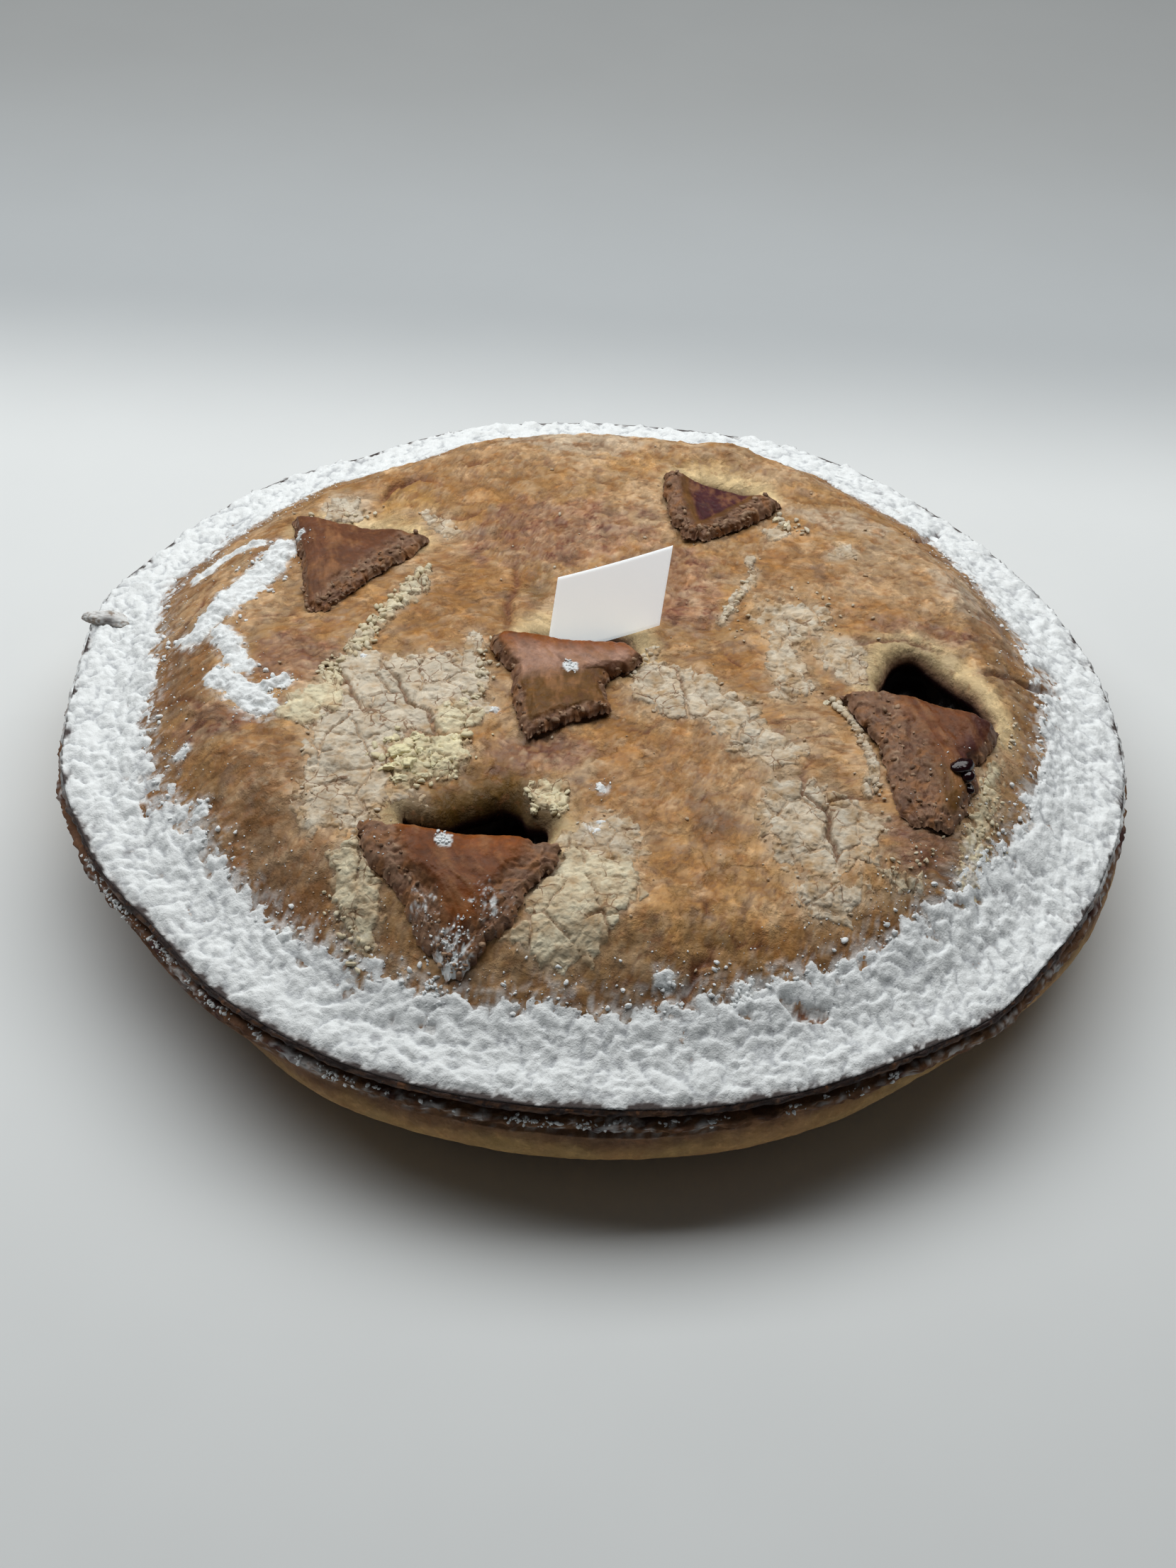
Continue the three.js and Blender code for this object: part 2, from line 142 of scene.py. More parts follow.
class Noise:
    """Seeded gradient noise, about -1 to 1."""

    def __init__(self, seed):
        rng = np.random.default_rng(seed)
        self.table = np.tile(rng.permutation(256), 2)
        slopes = rng.normal(size=(256, 3))
        self.slopes = slopes / np.linalg.norm(slopes, axis=1)[:, None]

    def at(self, x, y, z=None):
        corners = [np.asarray(c, float) for c in ((x, y) if z is None else (x, y, z))]
        whole = [np.floor(c).astype(int) for c in corners]
        part = [c - w for c, w in zip(corners, whole)]
        ease = [p * p * p * (p * (p * 6 - 15) + 10) for p in part]
        total = 0.0
        for corner in range(2 ** len(corners)):
            steps = [(corner >> k) & 1 for k in range(len(corners))]
            key = 0
            weight = 1.0
            for k, step in enumerate(steps):
                key = self.table[(key + whole[k] + step) & 255]
                weight = weight * (ease[k] if step else 1 - ease[k])
            dot = sum(self.slopes[key, k] * (part[k] - step) for k, step in enumerate(steps))
            total = total + weight * dot
        return 1.7 * total

    def octaves(self, x, y, z, size, octaves, gain, offset, fold):
        """The noise at finer and finer sizes, each weaker than the last."""
        total, strength, reach = 0.0, 1.0, 0.0
        for k in range(octaves):
            f = 2.03 ** k / size
            shift = offset * k
            third = None if z is None else z * f - shift
            total = total + strength * fold(self.at(x * f + shift, y * f - shift, third))
            reach += strength
            strength *= gain
        return total, reach

    def fractal(self, x, y, z=None, size=1.0, octaves=4, gain=0.5):
        total, reach = self.octaves(x, y, z, size, octaves, gain, 17.3, np.asarray)
        return total / reach

    def billow(self, x, y, z=None, size=1.0, octaves=3, gain=0.5):
        """Rounded heaps with sharp creases between them, about 0 to 1."""
        total, reach = self.octaves(x, y, z, size, octaves, gain, 11.9, np.abs)
        return 1.6 * total / reach


BROAD, MIDDLE, FINE = Noise(1), Noise(2), Noise(3)
CELL_JITTER = 0.9
FAR = 1e9


def scramble(ix, iy, seed):
    """Two even random numbers from 0 to 1 for each whole-number pair."""
    h = np.asarray(ix, np.int64) * 374761393 + np.asarray(iy, np.int64) * 668265263 + seed * 982451653
    h &= 0xFFFFFFFF
    h = ((h ^ (h >> 13)) * 1274126177) & 0xFFFFFFFF
    h ^= h >> 16
    return (h & 0xFFFF) / 65536.0, ((h >> 16) & 0xFFFF) / 65536.0


def cell_middle(ix, iy, size, seed):
    a, b = scramble(ix, iy, seed)
    return (ix + 0.5 + CELL_JITTER * (a - 0.5)) * size, (iy + 0.5 + CELL_JITTER * (b - 0.5)) * size


def crackle(x, y, size, seed):
    """Random cells: distance to the nearest border, the way from the middle, and a random number for each."""
    gx, gy = np.floor(x / size).astype(int), np.floor(y / size).astype(int)
    nearest = np.full(np.shape(x), FAR)
    cx, cy, chance = np.zeros_like(nearest), np.zeros_like(nearest), np.zeros_like(nearest)
    for dx, dy in itertools.product((-1, 0, 1), repeat=2):
        px, py = cell_middle(gx + dx, gy + dy, size, seed)
        d = np.hypot(px - x, py - y)
        nearer = d < nearest
        cx, cy = np.where(nearer, px, cx), np.where(nearer, py, cy)
        chance = np.where(nearer, scramble(gx + dx, gy + dy, seed + 5)[0], chance)
        nearest = np.where(nearer, d, nearest)
    border = np.full(np.shape(x), FAR)
    for dx, dy in itertools.product((-2, -1, 0, 1, 2), repeat=2):
        px, py = cell_middle(gx + dx, gy + dy, size, seed)
        nx, ny = px - cx, py - cy
        length = np.hypot(nx, ny)
        d = ((px + cx) / 2 - x) * nx + ((py + cy) / 2 - y) * ny
        other = length > 1e-6
        border = np.where(other, np.minimum(border, d / np.where(other, length, 1)), border)
    return border, (x - cx, y - cy), chance


def swell(phi, swells):
    """Sum of smooth bulges round the pie, each with its bearing, width and rise."""
    turns = ((np.degrees(phi) - at + 540) % 360 - 180 for at, _, _ in swells)
    return sum(by * bell(turn / width) for turn, (_, width, by) in zip(turns, swells))


def rim_radius(phi):
    return RIM_RADIUS + swell(phi, RIM_SWELLS)


def rim_share(x, y):
    """Distance from the axis as a share of the rim's radius there."""
    return np.hypot(x, y) / rim_radius(np.arctan2(y, x))


def past_rim(x, y):
    """Distance outwards from the rim."""
    return np.hypot(x, y) - rim_radius(np.arctan2(y, x))


def dome_height(x, y):
    r = rim_share(x, y) * RIM_RADIUS
    shoulder = SHOULDER_RISE * (1 - smooth(SHOULDER_START, SHOULDER_END, r))
    crown = CROWN_RISE * np.maximum(0, 1 - (r / CROWN_RADIUS) ** 2)
    rim = RIM_FALL * clamp01((RIM_RADIUS - r) / (RIM_RADIUS - SHOULDER_END))
    return RIM_HEIGHT + shoulder + crown + rim


def lid_height(x, y):
    """The lid's surface without its fine relief."""
    x, y = np.asarray(x, float), np.asarray(y, float)
    fade = 1 - smooth(0.86, 0.96, rim_share(x, y))
    puffs, hollows = (sum(by * bell(np.hypot(x - px, y - py) / size) for px, py, size, by in spots)
                      for spots in (PUFFS, HOLLOWS))
    ripple = 0.5 * np.sin(x / 9.3 + 1.1) * np.sin(y / 8.1 + 0.4)
    return dome_height(x, y) + fade * (puffs - hollows + ripple)


def path_distance(x, y, path):
    """Distance to a line through points, and how far along it, from 0 to 1."""
    path = np.asarray(path, float)
    legs = np.diff(path, axis=0)
    lengths = np.hypot(*legs.T)
    starts = np.concatenate([[0], np.cumsum(lengths)])
    best, along = np.full(np.shape(x), FAR), np.zeros(np.shape(x))
    for p, leg, length, start in zip(path, legs, lengths, starts):
        t = clamp01(((x - p[0]) * leg[0] + (y - p[1]) * leg[1]) / length ** 2)
        d = np.hypot(x - p[0] - t * leg[0], y - p[1] - t * leg[1])
        along = np.where(d < best, (start + t * length) / starts[-1], along)
        best = np.minimum(best, d)
    return best, along


def closed_curve(points, per_leg):
    """A smooth closed line through points (Catmull-Rom)."""
    p = np.asarray(points, float)
    a, b, c, d = np.roll(p, 1, axis=0), p, np.roll(p, -1, axis=0), np.roll(p, -2, axis=0)
    t = np.linspace(0, 1, per_leg, endpoint=False)[None, :, None]
    a, b, c, d = (q[:, None, :] for q in (a, b, c, d))
    curve = 2 * b + (c - a) * t + (2 * a - 5 * b + 4 * c - d) * t ** 2 + (3 * b - a - 3 * c + d) * t ** 3
    return 0.5 * curve.reshape(-1, 2)


def inside_loop(x, y, loop):
    hit = np.zeros(np.shape(x), bool)
    for (x0, y0), (x1, y1) in zip(loop, np.roll(loop, -1, axis=0)):
        crosses = (y0 > y) != (y1 > y)
        at = x0 + (y - y0) * (x1 - x0) / (y1 - y0 if y1 != y0 else 1e-9)
        hit ^= crosses & (x < at)
    return hit


def nearest_on_loop(x, y, loop):
    """Distance to a closed line and the nearest point on it."""
    best = np.full(np.shape(x), FAR)
    nx, ny = np.array(x, float), np.array(y, float)
    for p, q in zip(loop, np.roll(loop, -1, axis=0)):
        leg = q - p
        t = clamp01(((x - p[0]) * leg[0] + (y - p[1]) * leg[1]) / (leg @ leg))
        cx, cy = p[0] + t * leg[0], p[1] + t * leg[1]
        d = np.hypot(x - cx, y - cy)
        nx, ny = np.where(d < best, cx, nx), np.where(d < best, cy, ny)
        best = np.minimum(best, d)
    return best, nx, ny


def loop_distance(x, y, loop):
    """Distance to a closed line, below zero inside it."""
    d = nearest_on_loop(x, y, loop)[0]
    return np.where(inside_loop(x, y, loop), -d, d)


class Field:
    """Distance to the nearest of some loops, kept on a square grid and read between its points."""

    REACH = 150.0
    STEP = 0.5

    def __init__(self, loops, margin=16.0):
        s = np.arange(-self.REACH, self.REACH + self.STEP, self.STEP)
        x, y = np.meshgrid(s, s)
        self.values = np.full(x.shape, margin)
        for loop in loops:
            near = near_box(x, y, loop, margin)
            self.values[near] = np.minimum(self.values[near], loop_distance(x[near], y[near], loop))

    def at(self, x, y):
        """Distance to the nearest loop, below zero inside it."""
        last = self.values.shape[0] - 1.001
        gx = np.clip((np.asarray(x, float) + self.REACH) / self.STEP, 0, last)
        gy = np.clip((np.asarray(y, float) + self.REACH) / self.STEP, 0, last)
        i, j = gx.astype(int), gy.astype(int)
        u, v = gx - i, gy - j
        low = mix(self.values[j, i], self.values[j, i + 1], u)
        high = mix(self.values[j + 1, i], self.values[j + 1, i + 1], u)
        return mix(low, high, v)


# ---------------------------------------------------------------- meshes
def fill_mesh(mesh, points, faces):
    """Sets points (mm) and faces, given as arrays of triangles, quads or longer faces."""
    groups = [np.asarray(g, np.int32) for g in (faces if isinstance(faces, list) else [faces])]
    groups = [g for g in groups if len(g)]
    sizes = np.concatenate([np.full(len(g), g.shape[1], np.int32) for g in groups])
    corners = np.concatenate([g.ravel() for g in groups])
    mesh.vertices.add(len(points))
    mesh.vertices.foreach_set("co", (np.asarray(points, np.float32) * MM).ravel())
    mesh.loops.add(len(corners))
    mesh.loops.foreach_set("vertex_index", corners)
    mesh.polygons.add(len(sizes))
    mesh.polygons.foreach_set("loop_start", np.concatenate([[0], np.cumsum(sizes)[:-1]]).astype(np.int32))
    mesh.update(calc_edges=True)
    mesh.validate()


def make_mesh(name, points, faces, layers=None, material=None, node=None, slot=None):
    """A piece from points in mm, with values kept per point, riding on the one body."""
    mesh = bpy.data.meshes.new(name)
    fill_mesh(mesh, points, faces)
    for key, values in (layers or {}).items():
        values = np.asarray(values, np.float32)
        kind, field = "FLOAT", "value"
        if values.ndim == 2:
            kind, field = "FLOAT_COLOR", "color"
            values = np.column_stack([values, np.ones(len(values), np.float32)])
        mesh.attributes.new(key, kind, "POINT").data.foreach_set(field, values.ravel())
    mesh.polygons.foreach_set("use_smooth", [True] * len(mesh.polygons))
    mesh.materials.append(material)
    piece = bpy.data.objects.new(name, mesh)
    bpy.context.scene.collection.objects.link(piece)
    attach(piece, "root")
    if node:
        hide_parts(node)
    return piece


def grid_quads(rows, columns, start=0, wrap=False):
    j, i = np.meshgrid(np.arange(rows - 1), np.arange(columns if wrap else columns - 1), indexing="ij")
    a = start + j * columns + i
    b = start + j * columns + (i + 1) % columns
    return np.stack([a, b, b + columns, a + columns], axis=-1).reshape(-1, 4)


def bridge(ring_a, ring_b):
    """Quads between two closed rings of vertex numbers, as long as each other."""
    a, b = np.asarray(ring_a), np.asarray(ring_b)
    return np.stack([a, np.roll(a, -1), np.roll(b, -1), b], axis=-1)


def border_ring(rows, columns):
    """Vertex numbers round a grid."""
    return np.concatenate([
        np.arange(columns), np.arange(1, rows) * columns + columns - 1,
        (rows - 1) * columns + np.arange(columns - 2, -1, -1), np.arange(rows - 2, 0, -1) * columns,
    ])


def fan(ring, pole):
    ring = np.asarray(ring)
    return np.stack([ring, np.roll(ring, -1), np.full(len(ring), pole)], axis=-1)


class Shell:
    """Points and faces that start as a sheet and grow ring by ring from its border."""

    def __init__(self, points, faces, ring, turned=True):
        self.points, self.faces = [points], [faces]
        self.ring, self.count, self.turned = ring, len(points), turned

    def face(self, faces):
        self.faces.append(faces[:, ::-1] if self.turned else faces)

    def grow(self, points):
        """Adds a ring of as many points as the last one and joins the two."""
        ring = self.count + np.arange(len(points))
        self.points.append(points)
        self.face(bridge(self.ring, ring))
        self.ring, self.count = ring, self.count + len(points)

    def close(self, point):
        """Closes the last ring with one point."""
        self.points.append(np.array([point], float))
        self.face(fan(self.ring, self.count))
        self.count += 1


def tidy_mesh(points, faces, layers):
    """Drops points that no face uses."""
    used = np.unique(np.concatenate([np.asarray(g).ravel() for g in faces]))
    renumber = np.full(len(points), -1)
    renumber[used] = np.arange(len(used))
    return points[used], [renumber[np.asarray(g)] for g in faces], {k: v[used] for k, v in layers.items()}


# ---------------------------------------------------------------- colours (of the surface itself, evenly lit, apart from those noted as painted shade)
GOLDEN = srgb(180, 140, 93)
PALE_SKIN = srgb(200, 172, 138)
AMBER = srgb(168, 118, 64)
BROWN = srgb(120, 86, 59)
GREY_BROWN = srgb(132, 104, 83)
DARK_BROWN = srgb(104, 70, 50)
REDDISH = srgb(171, 133, 113)
RED_DARK = srgb(120, 74, 56)
CREAM = srgb(213, 203, 184)
TOASTED = srgb(180, 152, 116)
FRESH_CREAM = srgb(234, 226, 184)
# yellow of under-baked dough, darkened with painted shade for hollows that slope away from the light
SHADED_YELLOW = srgb(88, 62, 8)
LIP = srgb(230, 206, 158)
PINK = srgb(140, 88, 80)
CRACK = srgb(112, 76, 50)
FLAP_BROWN = srgb(110, 63, 33)
FLAP_ORANGE = srgb(130, 70, 25)
FLAP_PURPLE = srgb(108, 69, 48)
FLAP_YELLOW = srgb(104, 72, 34)
TORN = srgb(134, 103, 82)
TORN_PALE = srgb(170, 142, 117)
TORN_DARK = srgb(92, 60, 44)
BURNT = srgb(56, 44, 42)
RIM_BURNT = srgb(66, 56, 54)
SAND = srgb(172, 138, 88)
JAM_STAIN = srgb(76, 40, 44)
SUGAR = srgb(238, 242, 243)
SCORCH = srgb(146, 98, 62)
CELL_LINE = srgb(186, 158, 122)
CELL_CRACK = srgb(124, 88, 60)
HONEY = srgb(196, 150, 92)
STRAW = srgb(196, 156, 96)
CARAMEL = srgb(150, 100, 52)
PALE_GRAIN = srgb(216, 196, 166)
PALE_HALO = srgb(204, 176, 136)
TEAR = srgb(112, 62, 38)
RIM_LAYER = srgb(112, 80, 58)
THIN_SUGAR = srgb(214, 204, 190)
WORN_SUGAR = srgb(190, 186, 184)
# grey for the painted shade in the creases of the sugar
SUGAR_PAINTED_SHADE = srgb(150, 154, 160)
FLAP_TAN = srgb(158, 112, 74)
TORN_BROWN = srgb(150, 104, 66)
DRIED_JAM = srgb(42, 26, 36)
JAM_STREAK = srgb(58, 32, 42)
WET_JAM = srgb(26, 20, 26)
JAM_DROP = srgb(30, 10, 16)
JAM = srgb(34, 8, 14)
CHERRY = srgb(30, 6, 8)
SAND_BROWN = srgb(176, 134, 88)
# scorched brown, darkened further with painted shade for the left front where the base tucks under the flange
BASE_SCORCHED_SHADED = srgb(92, 62, 48)
BASE_BROWN = srgb(112, 78, 56)
NUB_GREY = srgb(150, 140, 130)
CARD_WHITE = srgb(250, 251, 251)
PAPER = srgb(222, 226, 227)
# greys of the floor further back: painted shade for the dimmer light there
PAPER_BEHIND_SHADED = srgb(176, 181, 184)
PAPER_FAR_SHADED = srgb(160, 163, 164)


# ---------------------------------------------------------------- materials
class Shader:
    """Shorthand for building a node tree round one Principled BSDF."""

    def __init__(self, name, **sockets):
        self.material = bpy.data.materials.new(name)
        self.material.use_nodes = True
        self.tree = self.material.node_tree
        self.bsdf = self.tree.nodes["Principled BSDF"]
        for key, value in sockets.items():
            self.bsdf.inputs[key.replace("_", " ").title().replace("Ior", "IOR")].default_value = value
        self.position = self.node("ShaderNodeTexCoord").outputs["Object"]

    def node(self, kind, **settings):
        node = self.tree.nodes.new(kind)
        for key, value in settings.items():
            setattr(node, key, value)
        return node

    def feed(self, target, value):
        if isinstance(value, bpy.types.NodeSocket):
            self.tree.links.new(value, target)
        else:
            target.default_value = value

    def attribute(self, name, field="Fac"):
        return self.node("ShaderNodeAttribute", attribute_name=name).outputs[field]

    def noise(self, size, detail=4.0, rough=0.55, distortion=0.0):
        """Noise with features about size millimetres across."""
        node = self.node("ShaderNodeTexNoise")
        settings = {"Scale": 1 / (size * MM), "Detail": detail, "Roughness": rough, "Distortion": distortion}
        for key, number in settings.items():
            node.inputs[key].default_value = number
        self.feed(node.inputs["Vector"], self.position)
        return node.outputs["Fac"]

    def bent(self, size, by):
        """The position, shifted by up to by millimetres in a noise of the given size."""
        node = self.node("ShaderNodeTexNoise")
        node.inputs["Scale"].default_value = 1 / (size * MM)
        node.inputs["Detail"].default_value = 3.0
        self.feed(node.inputs["Vector"], self.position)
        centred = self.node("ShaderNodeVectorMath", operation="SUBTRACT")
        self.feed(centred.inputs[0], node.outputs["Color"])
        centred.inputs[1].default_value = (0.5, 0.5, 0.5)
        shift = self.node("ShaderNodeVectorMath", operation="MULTIPLY_ADD")
        self.feed(shift.inputs[0], centred.outputs[0])
        shift.inputs[1].default_value = (2 * by * MM,) * 3
        self.feed(shift.inputs[2], self.position)
        return shift.outputs[0]

    def cells(self, size, place, feature="DISTANCE_TO_EDGE", output="Distance"):
        """Random cells about size millimetres wide: distance to their border, or a colour for each."""
        node = self.node("ShaderNodeTexVoronoi", feature=feature)
        node.inputs["Scale"].default_value = 1 / (size * MM)
        self.feed(node.inputs["Vector"], place)
        return node.outputs[output]

    def math(self, operation, a, b):
        node = self.node("ShaderNodeMath", operation=operation)
        self.feed(node.inputs[0], a)
        self.feed(node.inputs[1], b)
        return node.outputs[0]

    def ramp(self, value, low, high, to_low=0.0, to_high=1.0):
        node = self.node("ShaderNodeMapRange", interpolation_type="SMOOTHSTEP")
        self.feed(node.inputs["Value"], value)
        for key, number in zip(("From Min", "From Max", "To Min", "To Max"), (low, high, to_low, to_high)):
            node.inputs[key].default_value = number
        return node.outputs["Result"]

    def blend(self, share, a, b):
        node = self.node("ShaderNodeMix", data_type="RGBA")
        self.feed(node.inputs[0], share)
        for socket, colour in ((node.inputs[6], a), (node.inputs[7], b)):
            self.feed(socket, colour if isinstance(colour, bpy.types.NodeSocket) else (*colour, 1.0))
        return node.outputs[2]

    def tint(self, colour, value, strength):
        """Darkens and lightens a colour by a value around one half."""
        node = self.node("ShaderNodeVectorMath", operation="SCALE")
        self.feed(node.inputs[0], colour if isinstance(colour, bpy.types.NodeSocket) else tuple(colour))
        self.feed(node.inputs["Scale"], self.ramp(value, 0.25, 0.75, 1 - strength, 1 + strength))
        return node.outputs[0]

    def bump(self, layers):
        """Heights in millimetres, each a value from 0 to 1 with its own height."""
        normal = None
        for value, height in layers:
            node = self.node("ShaderNodeBump")
            node.inputs["Strength"].default_value = 1.0
            node.inputs["Distance"].default_value = height * MM
            self.feed(node.inputs["Height"], value)
            if normal:
                self.feed(node.inputs["Normal"], normal)
            normal = node.outputs["Normal"]
        self.feed(self.bsdf.inputs["Normal"], normal)

    def finish(self, colour, roughness):
        self.feed(self.bsdf.inputs["Base Color"], colour)
        self.feed(self.bsdf.inputs["Roughness"], roughness)
        return self.material


def crust_material(name, roughness=0.6, relief=0.2, mottle=0.14, specks=0.5, flakes=0.0, specular=0.3):
    """Baked dough: the point colour, mottled, with scorched specks, wrinkles and thin peeling flakes."""
    s = Shader(name, specular_ior_level=specular)
    colour = s.tint(s.attribute("tint", "Color"), s.noise(8.0, 5.0, 0.62), mottle)
    colour = s.tint(colour, s.noise(2.6, 5.0, 0.65, 0.6), mottle)
    scorched = s.math("MULTIPLY", s.ramp(s.noise(3.0, 5.0, 0.65, 0.4), 0.56, 0.66), specks)
    colour = s.blend(scorched, colour, SCORCH)
    colour = s.tint(colour, s.ramp(s.noise(2.2, 4.0, 0.65, 0.3), 0.54, 0.66, 0.48, 0.75), 0.5 * specks)
    bumps = [(s.noise(4.0, 4.0, 0.55), relief * 3.0), (s.noise(1.3, 3.0, 0.55), relief)]
    if flakes:
        skin = s.noise(10.0, 9.0, 0.66, 0.3)
        peeled = s.ramp(skin, 0.46, 0.58)
        colour = s.tint(colour, peeled, flakes)
        bumps.append((peeled, 0.2))
    rough = s.ramp(s.noise(5.0, 3.0), 0.3, 0.7, roughness - 0.1, roughness + 0.14)
    rough = s.math("MULTIPLY", rough, s.math("SUBTRACT", 1.0, s.math("MULTIPLY", s.attribute("shine"), 0.75)))
    s.bump(bumps)
    return s.finish(colour, rough)


def pale_crust_material():
    """Dried pale dough: small domed cells, each with its own tone, with thin dark cracks between some."""
    s = Shader("crust_pale_cracked", specular_ior_level=0.2)
    place = s.bent(2.6, 0.7)
    wide, small = s.cells(4.4, place), s.cells(1.6, place)
    colour = s.tint(s.attribute("tint", "Color"), s.noise(6.0, 5.0, 0.6), 0.12)
    colour = s.tint(colour, s.cells(4.4, place, "F1", "Color"), 0.08)
    where = s.ramp(s.noise(9.0, 3.0), 0.46, 0.62, 0.0, 0.8)
    line = s.math("MULTIPLY", s.ramp(wide, 0.045, 0.012), where)
    faint = s.math("MULTIPLY", s.ramp(small, 0.2, 0.0), 0.16)
    colour = s.blend(faint, colour, CELL_LINE)
    colour = s.blend(line, colour, CELL_CRACK)
    s.bump([(s.noise(2.2, 3.0, 0.55), 0.4), (s.ramp(small, 0.0, 0.5), 0.14), (s.ramp(wide, 0.0, 0.3), 0.18)])
    return s.finish(colour, s.ramp(s.noise(5.0, 3.0), 0.3, 0.7, 0.66, 0.84))


def sugar_material():
    s = Shader("icing_sugar", specular_ior_level=0.1)
    white = s.tint(s.attribute("tint", "Color"), s.noise(2.4, 4.0, 0.6), 0.05)
    s.bump([(s.noise(1.1, 4.0, 0.6), 0.36), (s.noise(0.35, 2.0, 0.6), 0.12)])
    return s.finish(white, s.ramp(s.noise(3.0), 0.3, 0.7, 0.92, 1.0))


def jam_material(name, colour, roughness, specular):
    s = Shader(name, specular_ior_level=specular)
    shade = s.blend(s.noise(6.0, 3.0), colour, 0.35 * colour)
    s.bump([(s.noise(2.6, 3.0), 0.3)])
    shade = s.tint(shade, s.noise(2.0), 0.2)
    return s.finish(shade, s.ramp(s.noise(3.0), 0.3, 0.7, roughness, roughness + 0.15))


def card_material():
    s = Shader("card_paper", specular_ior_level=0.3, subsurface_weight=1.0, subsurface_scale=0.01)
    s.bsdf.inputs["Subsurface Radius"].default_value = (1.0, 1.0, 1.0)
    # painted light: the card glows a little, standing in for daylight that comes through the thin paper from
    # behind
    s.bsdf.inputs["Emission Color"].default_value = (0.80, 0.92, 1.0, 1.0)
    s.bsdf.inputs["Emission Strength"].default_value = 0.42
    s.bump([(s.noise(0.25, 3.0, 0.7), 0.02)])
    return s.finish(s.tint(CARD_WHITE, s.noise(4.0), 0.015), s.ramp(s.noise(1.0), 0.3, 0.7, 0.5, 0.62))


# ---------------------------------------------------------------- places on the lid (mm)
# the lid bends down into each cut
LIP_WIDTH = 6.0
LIP_DROP = 3.6

# points round each visible cut
VENT_LOOPS = {
    "front": [(-45.5, -67.5), (-40.5, -68.4), (-35.5, -68.0), (-31.5, -64.2), (-26.3, -61.4),
              (-21.5, -59.8), (-17.4, -62.4), (-15.0, -66.4), (-10.4, -68.8), (-11.3, -76), (-20, -81),
              (-31, -81), (-41, -77)],
    "right": [(72.4, -8), (73.6, -3.4), (76.0, 3.0), (79.2, 6.4), (82.8, 7.2), (86.8, 4.2), (92.4, -1.2),
              (97.0, -6.8), (99.2, -12.0), (101.4, -17.2), (96, -22), (86, -21), (76, -18)],
    "centre": [(-18.5, -4), (-17.5, 1.5), (-12, 5.2), (-4, 6.6), (3, 5.2), (7, 0.5), (7.5, -6), (-2, -10),
               (-12, -9)],
    "back_left": [(-82, 46), (-74, 49.2), (-66, 48.4), (-58, 44.5), (-56, 40), (-66, 40.5), (-78, 43)],
    "back_right": [(21, 77), (24, 81.5), (30, 83), (37, 80), (41, 73), (36, 70), (28, 72)],
}
VENTS = {name: closed_curve(points, 12) for name, points in VENT_LOOPS.items()}
VENT_FIELD = Field(VENTS.values())

